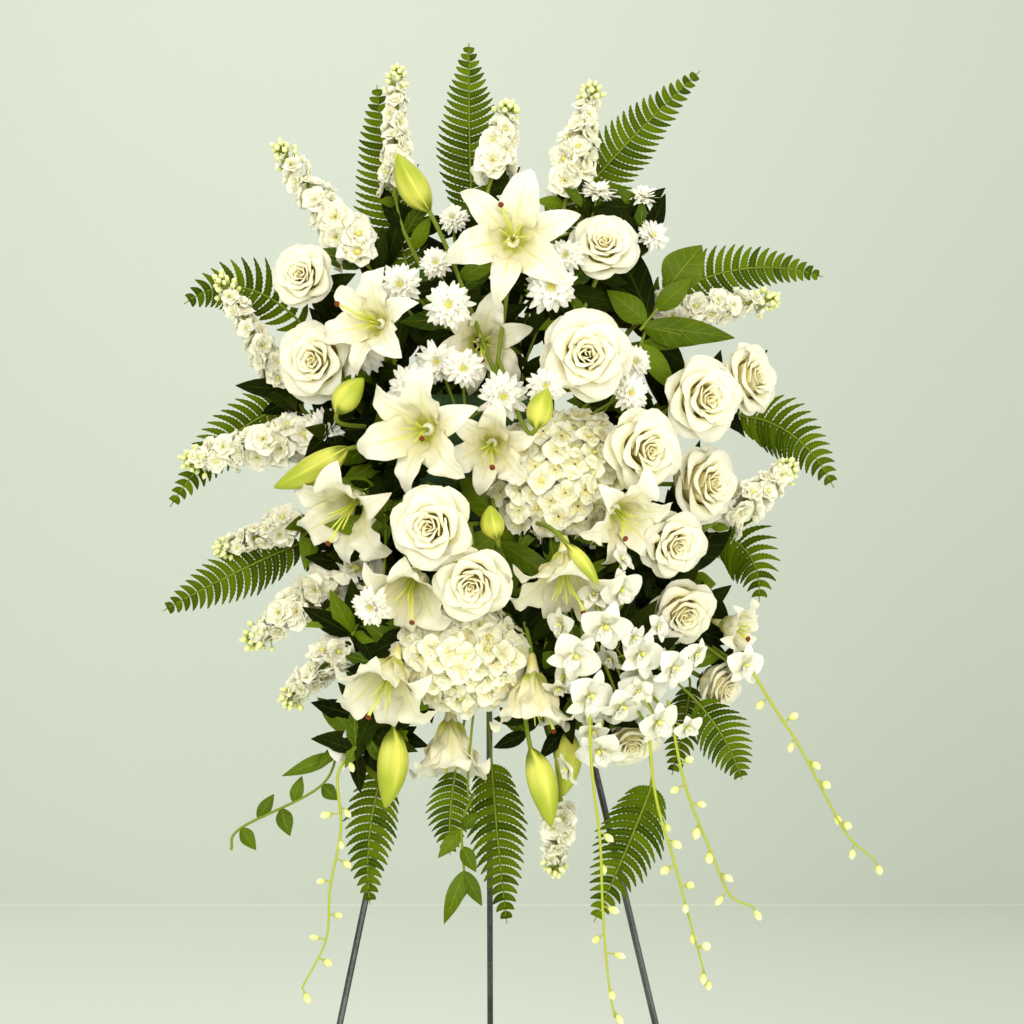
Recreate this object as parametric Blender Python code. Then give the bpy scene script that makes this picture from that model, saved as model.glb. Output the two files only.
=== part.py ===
"""A standing funeral spray: white flowers and greens in a foam block, held on a three-legged wire easel."""

import math

import bmesh
import bpy
import numpy as np

# The layout drawing. One unit of it is PLAN_UNIT in the plane that stands PLAN_DISTANCE from the eye.
PLAN_UNIT = 0.00108
PLAN_CENTRE = (512.0, 512.0)
PLAN_HEIGHT = 1.098
PLAN_DISTANCE = 2.6
SHIFT_ACROSS = 0.0  # from the drawing's middle line to the middle of the object's box
SHIFT_BACK = 0.080

CM = 0.01
GAP = 0.0003  # between neighbours
GROWN = 0.0006  # how much larger a neighbour is when it is cut from a bloom

# Easel: 7 mm steel rod.
ROD_RADIUS = 0.0035
ROD_SIDES = 8
EASEL_ACROSS = -0.026
TOP_HEIGHT = 1.245
TOP_HALF_GAP = 0.016
TOP_BACK = 0.060
CROWN_HALF = 0.009
CROWN_RISE = 0.016
CROWN_BACK = 0.003
FRONT_FEET_BACK = -0.200
LEFT_FOOT_ACROSS = -0.294
RIGHT_FOOT_ACROSS = 0.282
REAR_FOOT_BACK = 0.420
FOOT_LIFT = 0.006
PIN_RADIUS = 0.0025
PIN_DROP = 0.012
EYE_INSIDE = 0.0034
EYE_OUTSIDE = 0.0075
EYE_HALF_WIDTH = 0.0045
HOOK_HEIGHT = 0.962
HOOK_RADIUS = 0.0025
HOOK_APART = 0.050
TIP_RADIUS = 0.0085
TIP_HEIGHT = 0.030
TIP_FLOOR = 0.005

# Foam block in its tray.
FOAM_HALF = (0.070, 0.045, 0.120)
FOAM_CENTRE = (-0.026, -0.056, 1.100)
TRAY_WALL = 0.003
TRAY_LIP = 0.014
STRAP_HALF = 0.010
STRAP_DROP = 0.014
HOLDER_SPARE = (0.006, 0.004)  # kept clear round the block, below and above
HOLE_DEPTH = 0.022
HOLE_SPARE = 0.0012
HOLE_APART = 0.015

BLADE_THICKNESS = 0.0014
GOLDEN_TURN = math.radians(137.508)


def at(across, down, forward):
    """The place of a point of the layout drawing that stands `forward` centimetres out of its plane."""
    nearer = (PLAN_DISTANCE - forward * CM) / PLAN_DISTANCE
    x = (across - PLAN_CENTRE[0]) * PLAN_UNIT * nearer
    z = PLAN_HEIGHT + (PLAN_CENTRE[1] - down) * PLAN_UNIT * nearer
    return np.array([x, -forward * CM, z])


def unit(vector):
    vector = np.asarray(vector, float)
    return vector / np.linalg.norm(vector)


def facing(turn_right, turn_up):
    """The unit vector towards the viewer, turned right and up by these degrees."""
    a, b = math.radians(turn_right), math.radians(turn_up)
    return np.array([math.sin(a) * math.cos(b), -math.cos(a) * math.cos(b), math.sin(b)])


def frame_of(axis, hint=(0.0, 0.0, 1.0)):
    """Two unit vectors across `axis`; the second is the nearest to `hint`."""
    axis = unit(axis)
    up = np.asarray(hint, float) - np.dot(hint, axis) * axis
    if np.linalg.norm(up) < 1e-3:
        up = np.array([0.0, 1.0, 0.0]) - axis[1] * axis
    up = unit(up)
    return np.cross(up, axis), up


# Closed surfaces, as (points, faces).


def outward(points, faces):
    """The surface with its faces turned outwards. A face is a tuple of three or more points."""
    volume = 0.0
    for face in faces:
        for i in range(1, len(face) - 1):
            volume += np.dot(points[face[0]], np.cross(points[face[i]], points[face[i + 1]]))
    return points, faces if volume > 0 else [face[::-1] for face in faces]


def loft(rings, first=None, last=None):
    """A closed surface over rings of equal size; its ends are points where given, and flat otherwise."""
    rings = np.asarray(rings, float)
    rows, sides = rings.shape[:2]
    points = list(rings.reshape(-1, 3))
    faces = []
    for row in range(rows - 1):
        for side in range(sides):
            a = row * sides + side
            b = row * sides + (side + 1) % sides
            faces += [(a, b, b + sides), (a, b + sides, a + sides)]
    for end, row, turn in ((first, 0, 1), (last, rows - 1, -1)):
        ring = [row * sides + side for side in range(sides)]
        if end is None:
            ends = [tuple(ring[::-1])]
        else:
            points.append(np.asarray(end, float))
            tip = len(points) - 1
            ends = [(tip, ring[(side + 1) % sides], ring[side]) for side in range(sides)]
        faces += [face[::turn] for face in ends]
    return outward(np.array(points), faces)


def star(outline, top, bottom=None):
    """A flower with pointed lobes: its outline has a lobe's tip at each even place and a gap at each odd one.
    The gaps are joined to a point below, or make a flat base."""
    count = len(outline)
    points = [*outline, top]
    faces = [(i, (i + 1) % count, count) for i in range(count)]
    faces += [(i, (i - 1) % count, (i + 1) % count) for i in range(0, count, 2)]
    gaps = list(range(1, count, 2))
    if bottom is None:
        faces.append(tuple(gaps[::-1]))
    else:
        points.append(bottom)
        faces += [(gaps[i], count + 1, gaps[(i + 1) % len(gaps)]) for i in range(len(gaps))]
    return outward(np.array(points), faces)


def curve(start, lead, end, arrive, rows):
    """Points of the cubic from `start`, leaving along `lead`, to `end`, arriving along `arrive`."""
    t = np.linspace(0.0, 1.0, rows)[:, None]
    b, c = start + lead, end - arrive
    return (1 - t) ** 3 * start + 3 * (1 - t) ** 2 * t * b + 3 * (1 - t) * t**2 * c + t**3 * end


def tube(path, radii, sides=4, grow=0.0):
    """A round stem along a path, with its frame carried along so that it doesn't twist."""
    path = np.asarray(path, float)
    radii = np.broadcast_to(radii, len(path)) + grow
    tangents = np.gradient(path, axis=0)
    side, up = frame_of(tangents[0], (0.31, 0.17, 0.93))
    rings = []
    for point, tangent, radius in zip(path, tangents, radii):
        tangent = unit(tangent)
        up = unit(up - np.dot(up, tangent) * tangent)
        side = np.cross(up, tangent)
        turns = np.arange(sides) * math.tau / sides
        rings.append(point + radius * (np.cos(turns)[:, None] * side + np.sin(turns)[:, None] * up))
    if grow:
        rings[0] = rings[0] - grow * unit(tangents[0])
        rings[-1] = rings[-1] + grow * unit(tangents[-1])
    return loft(rings)


def spindle(base, tip, radius, sides=4, fullest=0.4, grow=0.0):
    """A bud: round, pointed at both ends, widest at `fullest` of its length."""
    base, tip = np.asarray(base, float), np.asarray(tip, float)
    axis = unit(tip - base)
    base, tip = base - grow * axis, tip + grow * axis
    side, up = frame_of(axis)
    turns = np.arange(sides) * math.tau / sides
    circle = np.cos(turns)[:, None] * side + np.sin(turns)[:, None] * up
    middle = base + fullest * (tip - base)
    return loft([middle + (radius + grow) * circle], base, tip)


def cone(base, axis, profile, tip, sides, grow=0.0):
    """A pointed core with a flat base, from (along, radius) pairs."""
    side, up = frame_of(axis)
    turns = np.arange(sides) * math.tau / sides
    circle = np.cos(turns)[:, None] * side + np.sin(turns)[:, None] * up
    rings = [base + along * axis + (radius + grow) * circle for along, radius in profile]
    rings[0] = rings[0] - grow * axis
    return loft(rings, None, tip + grow * axis)


def egg(base, axis, profile, sides, grow=0.0):
    """A round core from (along, radius) pairs, pointed a little at both ends."""
    axis = unit(axis)
    side, up = frame_of(axis)
    turns = np.arange(sides) * math.tau / sides
    circle = np.cos(turns)[:, None] * side + np.sin(turns)[:, None] * up
    rings = [base + along * axis + (radius + grow) * circle for along, radius in profile]
    first = base + (profile[0][0] - 0.3 * profile[0][1] - grow) * axis
    last = base + (profile[-1][0] + 0.25 * profile[-1][1] + grow) * axis
    return loft(rings, first, last)


def blade(spine, half_widths, across, lift, thickness=BLADE_THICKNESS, grow=0.0):
    """A leaf or petal along a spine: four points a row, its edges lifted along the row's normal."""
    spine = np.asarray(spine, float)
    tangents = np.gradient(spine, axis=0)
    rings = []
    for i in range(1, len(spine) - 1):
        tangent = unit(tangents[i])
        wide = unit(across - np.dot(across, tangent) * tangent)
        normal = np.cross(tangent, wide)
        edge = (half_widths[i] + grow) * wide
        raised = lift[i] * normal
        half = (thickness / 2 + grow) * normal
        left, right = spine[i] - edge + raised, spine[i] + edge + raised
        rings.append([left, spine[i] + half, right, spine[i] - half])
    first = spine[0] - grow * unit(tangents[0])
    last = spine[-1] + grow * unit(tangents[-1])
    return loft(rings, first, last)


# Blooms and greens. With `grow`, each gives a simpler hull that much larger, to cut its neighbours with.


def lobed_ring(place, axis, along, radius, step, sides=10):
    """A ring of petal tips and the gaps between them: `radius` and `along` are (at tips, at gaps)."""
    side, up = frame_of(axis)
    turns = np.arange(sides) * math.tau / sides + 0.3
    tips = (np.arange(sides) + step) % 2 == 0
    reach = np.where(tips, radius[0], radius[1])[:, None]
    rise = np.where(tips, along[0], along[1])[:, None]
    return place + rise * axis + reach * (np.cos(turns)[:, None] * side + np.sin(turns)[:, None] * up)


def rose_parts(place, radius, turn_right, turn_up, opened, grow):
    """A rose: three rounds of lobed petals, each round's tips over the gaps of the next."""
    axis = facing(turn_right, turn_up)
    r = radius
    base = place - r * axis
    rim = 1.00 - 0.22 * opened
    if grow:
        profile = [(0.10 * r, 0.34 * r), (0.55 * r, 0.84 * r), (rim * r, 1.06 * r), (1.36 * r, 0.62 * r)]
        return [egg(base, axis, profile, 8, grow)], base, axis
    rings = [
        ((0.10, 0.10), (0.32, 0.32), 0),
        ((0.55, 0.55), (0.82, 0.72), 0),
        ((rim, rim - 0.12), (1.00, 0.80), 0),
        ((0.82, 0.82), (0.68, 0.72), 0),
        ((1.26, 1.08), (0.74, 0.62), 1),
        ((1.00, 1.00), (0.46, 0.50), 1),
        ((1.38, 1.24), (0.43, 0.35), 0),
        ((1.18, 1.18), (0.20, 0.22), 0),
    ]
    made = [
        lobed_ring(base, axis, np.multiply(along, r), np.multiply(reach, r), step)
        for along, reach, step in rings
    ]
    return [loft(made, None, base + 1.42 * r * axis)], base + 0.35 * r * axis, axis


def lily_parts(place, length, turn_right, turn_up, opened, grow):
    """A lily: six pointed tepals from a trumpet's throat, curving back, round a long pistil."""
    axis = facing(turn_right, turn_up)
    throat = place - 0.30 * length * axis
    side, up = frame_of(axis)
    parts = []
    for number in range(6):
        turn = number * math.tau / 6 + 0.3
        out = math.cos(turn) * side + math.sin(turn) * up
        inner = number % 2
        wide = length * (0.21 if inner else 0.16)
        steps = np.array([0.0, 0.35, 0.72, 1.0])
        flare = 1.25 - 0.9 * (1 - opened)
        spread = opened * length * (0.10 + 0.85 * steps**flare)
        spread[0] = 0.05 * length
        height, bend = 0.55 + 0.40 * (1 - opened), 1.9 - 0.5 * (1 - opened)
        rise = length * (height * np.sin(steps * bend) + 0.01 * inner)
        spine = throat + spread[:, None] * out + rise[:, None] * axis
        along = np.cross(axis, out)
        lift = [0.0, 0.05 * length, 0.04 * length, 0.0]
        parts.append(blade(spine, [0.0, wide, wide * 0.8, 0.0], -along, lift, grow=grow))
    trumpet = [(-0.22 * length, 0.06 * length), (0.02 * length, 0.10 * length)]
    parts.append(cone(throat, axis, trumpet, throat + 0.20 * length * axis, 5, grow))
    style = [throat + 0.1 * length * axis, throat + (0.72 + 0.1 * opened) * length * axis]
    parts.append(tube(style, [0.0014, 0.0026], 3, grow))
    return parts, throat - 0.10 * length * axis, axis


def stock_parts(base, tip, radius, seed, grow):
    """A stock: ruffled florets round a spike, with buds at its tip."""
    draw = np.random.default_rng(seed)
    base, tip = np.asarray(base), np.asarray(tip)
    axis = unit(tip - base)
    length = float(np.linalg.norm(tip - base))
    if grow:
        profile = [(0.0, 0.9 * radius), (0.5 * length, 1.15 * radius), (0.85 * length, 0.8 * radius)]
        return [egg(base, axis, profile, 6, grow)], base, axis
    side, up = frame_of(axis)
    core = [(-0.06 * length, 0.30 * radius), (0.30 * length, 0.42 * radius)]
    parts = [cone(base, axis, core, tip, 5)]
    florets = int(np.clip(round(length / (0.55 * radius)), 5, 8))
    for number in range(florets):
        t = (number + 0.5) / florets
        turn = number * GOLDEN_TURN
        out = unit(math.cos(turn) * side + math.sin(turn) * up + 0.15 * axis)
        size = radius * (0.86 - 0.26 * t) * draw.uniform(0.94, 1.06)
        centre = base + t * 0.88 * length * axis + (0.70 - 0.24 * t) * radius * out
        first, second = frame_of(out, (0.2, 0.1, 1.0))
        turns = np.arange(6) * math.tau / 6 + draw.uniform(0, 1)
        reach = size * np.where(np.arange(6) % 2, 0.78, 1.05)[:, None]
        outline = centre + reach * (np.cos(turns)[:, None] * first + np.sin(turns)[:, None] * second)
        stalk = base + (t * 0.88 * length - 0.1 * radius) * axis + 0.10 * radius * out
        parts.append(star(outline + 0.10 * size * out, centre + 0.20 * size * out, stalk))
    bud = tip + 0.06 * length * axis
    parts.append(spindle(bud - 0.16 * length * axis, bud + 0.02 * length * axis, 0.20 * radius, 3, 0.7))
    return parts, base + 0.02 * length * axis, axis


def flat_star(place, axis, radius, notch, count, raised, rise, grow):
    """A star of lobes round a raised middle, with a flat base where the stem goes in."""
    side, up = frame_of(axis)
    turns = np.arange(count) * math.tau / count + math.pi / 2
    gaps = np.arange(count) % 2 == 1
    reach = (np.where(gaps, notch, 1.0) * radius + grow)[:, None]
    outline = place + reach * (np.cos(turns)[:, None] * side + np.sin(turns)[:, None] * up)
    outline = outline + np.where(gaps, -0.12 * radius - grow, raised * radius)[:, None] * axis
    return star(outline, place + (rise * radius + grow) * axis)


def mum_parts(place, radius, turn_right, turn_up, grow):
    """A spray mum: a star of rays round a raised eye."""
    axis = facing(turn_right, turn_up)
    count, notch = (8, 0.95) if grow else (16, 0.62)
    return [flat_star(place, axis, radius, notch, count, 0.10, 0.24, grow)], place, axis


def hydrangea_parts(place, radii, seed, grow):
    """A hydrangea: four-petalled florets all over a smaller round core."""
    axis = np.array([0.0, -1.0, 0.0])
    wide, tall, deep = radii
    scale = np.array([wide, deep, tall])
    if grow:
        profile = [(-0.70, 0.60), (-0.20, 1.0), (0.40, 0.92), (0.85, 0.55)]
        hull = egg(np.zeros(3), axis, profile, 10)
        return [outward(place + hull[0] * (scale + grow), hull[1])], place, axis
    profile = [(-0.55, 0.40), (0.0, 0.70), (0.50, 0.42)]
    core = egg(np.zeros(3), axis, profile, 7)
    parts = [outward(place + core[0] * scale, core[1])]
    draw = np.random.default_rng(seed)
    florets = 18
    for number in range(florets):
        level = 1.0 - 1.38 * (number + 0.5) / florets
        turn = number * GOLDEN_TURN
        round_out = math.sqrt(max(0.0, 1.0 - level * level))
        out = unit(np.array([round_out * math.cos(turn), -level, round_out * math.sin(turn)]))
        centre = place + 0.90 * scale * out
        size = 0.32 * (wide + tall) / 2
        first, second = frame_of(out, (0.1, 0.2, 1.0))
        turns = np.arange(8) * math.tau / 8 + draw.uniform(0, 1.5)
        reach = np.where(np.arange(8) % 2, 0.50, 1.0)[:, None] * size
        outline = centre + reach * (np.cos(turns)[:, None] * first + np.sin(turns)[:, None] * second)
        parts.append(star(outline, centre + 0.10 * size * out, place + 0.50 * scale * out))
    return parts, place + 0.55 * deep * np.array([0.0, 1.0, 0.0]), axis


def fern_parts(path, half_width, pairs, sweep, face, grow):
    """A frond: toothed rows of pinnae on both sides of a rib, widest a third of the way up."""
    path = np.asarray(path, float)
    t = np.linspace(0.0, 1.0, pairs + 1)
    rib = (1 - t)[:, None] ** 2 * path[0] + 2 * ((1 - t) * t)[:, None] * path[1] + t[:, None] ** 2 * path[2]
    tangents = np.gradient(rib, axis=0)
    tangents /= np.linalg.norm(tangents, axis=1)[:, None]
    wide = np.cross(tangents, face)
    wide /= np.linalg.norm(wide, axis=1)[:, None]
    normal = np.cross(wide, tangents)
    reach = half_width * np.minimum(1.0, 0.45 + 1.9 * t[:-1]) * (1.0 - t[:-1] ** 2.2) ** 0.75 + 0.004
    notch = 0.0020 + grow
    half = 0.0011 + grow
    points, triangles = [], []
    count = pairs + 1
    points += list(rib + half * normal)
    points += list(rib - half * normal)
    for sign in (-1, 1):
        points += list(rib + sign * notch * wide)
        step = np.linalg.norm(rib[1] - rib[0])
        tips = (
            rib[:-1]
            + tangents[:-1] * (0.5 * step + sweep * reach[:, None])
            + sign * wide[:-1] * (reach[:, None] + grow)
            - 0.10 * reach[:, None] * normal[:-1]
        )
        points += list(tips)
    tip_point = len(points)
    points.append(rib[-1] + 0.012 * tangents[-1])
    base_point = len(points)
    points.append(rib[0] - (0.004 + grow) * tangents[0])
    for number, sign in enumerate((-1, 1)):
        notches = 2 * count + number * (count + pairs)
        tips = notches + count
        for i in range(pairs):
            for level, flip in ((0, 1), (count, -1)):
                fan = [
                    (level + i, notches + i, tips + i),
                    (level + i, tips + i, notches + i + 1),
                    (level + i, notches + i + 1, level + i + 1),
                ]
                triangles += [f[:: flip * sign] for f in fan]
        for level, flip in ((0, 1), (count, -1)):
            end = (level + pairs, notches + pairs, tip_point)
            start = (level, base_point, notches)
            triangles += [end[:: flip * sign], start[:: flip * sign]]
    return [outward(np.array(points), triangles)], rib[0], tangents[0]


def orchid_parts(place, radius, turn_right, turn_up, grow):
    """A dendrobium bloom: five broad lobes round a raised lip."""
    axis = facing(turn_right, turn_up)
    return [flat_star(place, axis, radius, 0.5, 10, 0.05, 0.30, grow)], place, axis


def leaf_parts(base, tip, half_width, face, grow, rows=4):
    """A broad leaf: pointed at both ends and folded a little along its rib."""
    base, tip = np.asarray(base, float), np.asarray(tip, float)
    base = base - 0.0025 * unit(tip - base)
    t = np.linspace(0.0, 1.0, rows)[:, None]
    length = np.linalg.norm(tip - base)
    across = unit(np.cross(tip - base, face))
    normal = np.cross(across, unit(tip - base))
    spine = base + t * (tip - base) + 0.10 * length * np.sin(math.pi * t) * normal
    widths = half_width * np.sin(math.pi * np.linspace(0.0, 1.0, rows) ** 0.8)
    lift = -0.16 * widths
    return [blade(spine, widths, across, lift, 0.0016, grow)], base, unit(tip - base)


# What stands where.
# Places are (across, down) on the layout drawing and centimetres forward; sizes are centimetres.

ROSES = {
    "roses_left": [
        (302, 275, 10, 3.2, -15, 5, 0.3),
        (315, 361, 13.4, 4.1, -20, 0, 0.6),
    ],
    "roses_upper_right": [
        (604, 245, 13, 3.5, 0, 22, 0.4),
        (587, 355, 19, 4.4, 3, 0, 0.7),
    ],
    "roses_right_upper": [
        (704, 399, 14, 4.2, 28, 0, 0.4),
        (752, 379, 8.5, 3.7, 48, 8, 0.3),
    ],
    "roses_right_middle": [
        (647, 450, 19, 4.0, 26, -4, 1.0),
        (708, 484, 13, 3.9, 42, 0, 0.6),
    ],
    "roses_right_lower": [
        (675, 545, 17, 3.4, 22, -12, 0.8),
        (683, 614, 14, 3.5, 18, -24, 0.6),
    ],
    "roses_bottom_right": [
        (723, 688, 9, 2.9, 50, -20, 0.2),
        (632, 742, 13, 3.2, 10, -42, 0.5),
    ],
    "roses_centre": [
        (431, 527, 25, 4.0, -14, 0, 0.7),
        (472, 584, 25, 3.7, -4, -18, 0.5),
    ],
}
HYDRANGEAS = {
    "hydrangea_right": [(563, 478, 13.5, 7.4, 7.0, 5.0, 21)],
    "hydrangea_left": [(460, 655, 15, 6.7, 5.5, 4.2, 22)],
}
LILIES = {
    "lilies_top": [
        (513, 238, 17, 7.6, 0, 4, 1.0),
        (481, 343, 11, 6.2, 4, -6, 0.95),
    ],
    "lily_left_upper": [(373, 322, 16, 6.3, -28, 4, 0.95)],
    "lily_left_middle": [(421, 430, 20, 7.6, -22, -4, 0.95)],
    "lily_centre": [(491, 446, 17, 6.0, -5, -14, 0.9)],
    "lilies_left_lower": [
        (350, 508, 16, 7.8, -34, -30, 0.85),
        (410, 586, 19, 7.0, -18, -42, 0.8),
    ],
    "lilies_hanging_left": [
        (450, 742, 12.5, 8.0, -4, -76, 0.58),
        (388, 678, 19, 7.8, -24, -50, 0.8),
    ],
    "lily_hanging_right": [(533, 694, 17, 7.8, 4, -76, 0.62)],
    "lilies_right": [
        (564, 574, 20, 8.0, -4, -60, 0.85),
        (622, 515, 19, 6.4, 30, -24, 0.9),
    ],
    "lily_right_edge": [(733, 627, 10, 4.9, 58, -14, 0.8)],
}
LILY_BUDS = {
    "lilies_top": [(430, 212, 397, 153, 11, 1.6), (536, 430, 548, 388, 22, 1.3)],
    "lily_left_upper": [(336, 414, 364, 378, 18, 1.4)],
    "lily_left_middle": [(349, 447, 273, 488, 17, 1.5)],
    "lily_centre": [(497, 540, 490, 505, 23, 1.2)],
    "lilies_hanging_left": [(393, 727, 385, 809, 15, 1.6)],
    "lily_hanging_right": [
        (530, 747, 551, 828, 16, 1.5),
        (567, 728, 563, 797, 14, 1.4),
        (614, 694, 625, 722, 15, 1.1),
    ],
    "lilies_right": [(566, 543, 599, 586, 26, 0.7)],
}
STOCKS = {
    "stock_top_left": [(395, 190, 398, 72, 7, 2.1, 31), (493, 172, 508, 110, 8, 2.6, 32)],
    "stock_top_right": [(568, 192, 592, 90, 7, 2.7, 33)],
    "stock_left_upper": [(362, 258, 280, 148, 8, 2.8, 34)],
    "stock_right_upper": [(648, 318, 772, 300, 5.5, 2.5, 35)],
    "stock_left_middle": [(282, 382, 221, 280, 7, 2.2, 36), (312, 434, 190, 461, 8, 3.1, 37)],
    "stock_left_lower": [
        (300, 522, 220, 549, 7, 2.2, 38),
        (362, 566, 252, 640, 10, 3.4, 39),
        (343, 648, 288, 699, 12, 2.5, 40),
    ],
    "stock_right_middle": [(718, 521, 790, 468, 9, 2.6, 41)],
    "stock_bottom": [(560, 802, 555, 868, 11.5, 2.4, 42)],
}
MUMS = {
    "mums_top": [
        (436, 263, 13, 1.8, -5, 10),
        (401, 285, 14, 2.4, -15, 5),
        (449, 305, 16, 2.6, -5, 0),
        (453, 219, 11, 1.7, 0, 20),
    ],
    "mums_centre": [
        (437, 362, 15, 2.3, -5, 0),
        (463, 368, 17, 2.2, 5, -5),
        (410, 386, 17, 2.4, -12, 0),
        (503, 397, 18, 2.7, 5, 0),
    ],
    "mums_top_right": [
        (597, 193, 9, 1.9, 10, 65),
        (645, 198, 8, 1.9, 30, 55),
        (652, 236, 9, 1.9, 25, 15),
        (565, 256, 15, 2.0, 0, 10),
        (551, 287, 17, 2.9, 0, 0),
    ],
    "mums_left": [
        (366, 352, 12, 2.6, -15, 0),
        (325, 430, 12, 2.4, -30, 0),
        (372, 606, 22, 2.2, -20, -20),
    ],
    "mums_right": [
        (634, 362, 15, 1.9, 15, 10),
        (630, 393, 17, 2.1, 15, 0),
        (546, 386, 20, 2.0, 0, 0),
    ],
}
ORCHID_BLOOMS = {
    "orchid_far_right": [(745, 665, 11, 2.3, 35, -10)],
    "orchid_right": [
        (641, 655, 19, 2.6, 10, -10),
        (643, 690, 17, 2.8, 10, -20),
        (673, 668, 19, 2.5, 25, -10),
        (657, 722, 19, 2.6, 10, -30),
    ],
    "orchid_centre": [
        (620, 590, 21, 2.5, 15, -10),
        (605, 626, 22, 2.9, 0, -15),
        (575, 656, 21, 2.8, -5, -15),
        (589, 696, 20, 2.9, 0, -20),
        (600, 750, 18, 2.8, 0, -35),
        (622, 706, 18.5, 2.5, 12, -25),
    ],
    "orchid_left": [(380, 752, 12.5, 2.4, -15, -30), (350, 750, 13.5, 2.3, -20, -30)],
}
# A trailing stem: its points down the drawing, centimetres forward at its start and its end, and its buds.
ORCHID_TRAILS = {
    "orchid_far_right": [
        (
            [(748, 665), (779, 715), (797, 742), (824, 793), (848, 836), (875, 860)],
            (11, 13),
            [
                (760, 703), (792, 715), (788, 741), (813, 759), (821, 778),
                (831, 808), (846, 820), (850, 845), (876, 864),
            ],
        )
    ],
    "orchid_right": [
        (
            [(668, 700), (685, 785), (712, 854), (730, 895), (754, 907)],
            (17, 20),
            [(688, 758), (674, 788), (697, 798), (693, 828), (706, 850), (725, 871), (718, 900), (752, 906)],
        ),
        (
            [(648, 715), (655, 793), (675, 865), (690, 921), (705, 975)],
            (18, 23),
            [
                (662, 820), (675, 838), (665, 868), (689, 883), (682, 900),
                (690, 931), (705, 944), (700, 967), (706, 982),
            ],
        ),
    ],
    "orchid_centre": [
        (
            [(589, 700), (592, 771), (600, 841), (603, 916), (609, 985), (615, 1018)],
            (19, 25),
            [(608, 832), (600, 862), (612, 907), (596, 932), (622, 954), (607, 984), (614, 1010)],
        )
    ],
    "orchid_left": [
        (
            [(360, 745), (338, 774), (341, 828), (330, 889), (326, 940), (302, 988)],
            (14, 17),
            [
                (347, 758), (320, 814), (343, 806), (338, 836), (350, 864),
                (320, 879), (338, 913), (312, 935), (327, 960), (303, 990),
            ],
        )
    ],
}
# A frond: the points at its base, its bend and its tip, each with its own centimetres forward; half width.
FERNS = {
    "fern_top_left": [((408, 270, 6), (383, 180, 3), (377, 85, 1), 4.2)],
    "fern_top": [((472, 215, 5), (468, 130, 2), (469, 43, 0), 3.8)],
    "fern_top_right": [((556, 225, 5), (615, 150, 3), (700, 71, 2), 3.8)],
    "fern_right_upper": [((650, 304, 4), (742, 248, 3), (823, 277, 3), 3.0)],
    "fern_right_middle": [((735, 415, 4), (800, 418, 4), (834, 488, 6), 3.5)],
    "fern_right_lower": [((702, 528, 3.5), (765, 540, 4), (759, 603, 6), 3.7)],
    "fern_right_bottom": [((700, 705, 11), (730, 740, 11), (742, 780, 12), 3.0)],
    "fern_left_upper": [((300, 322, 4), (240, 262, 3), (184, 304, 4), 3.6)],
    "fern_left_middle": [((300, 400, 4), (222, 425, 3), (170, 507, 5), 3.3)],
    "fern_left_lower": [((296, 545, 5), (232, 572, 5), (163, 611, 6), 3.3)],
    "fern_bottom_left": [((384, 768, 9.5), (362, 835, 11), (370, 905, 12), 3.0)],
    "fern_bottom": [
        ((492, 768, 9.5), (497, 840, 11), (507, 924, 12), 3.3),
        ((455, 775, 12), (448, 815, 12), (450, 855, 13), 2.6),
    ],
    "fern_bottom_right": [
        ((650, 790, 11), (628, 850, 12), (594, 922, 13), 3.8),
        ((690, 690, 6), (684, 730, 6), (672, 775, 7), 2.2),
    ],
}
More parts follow.
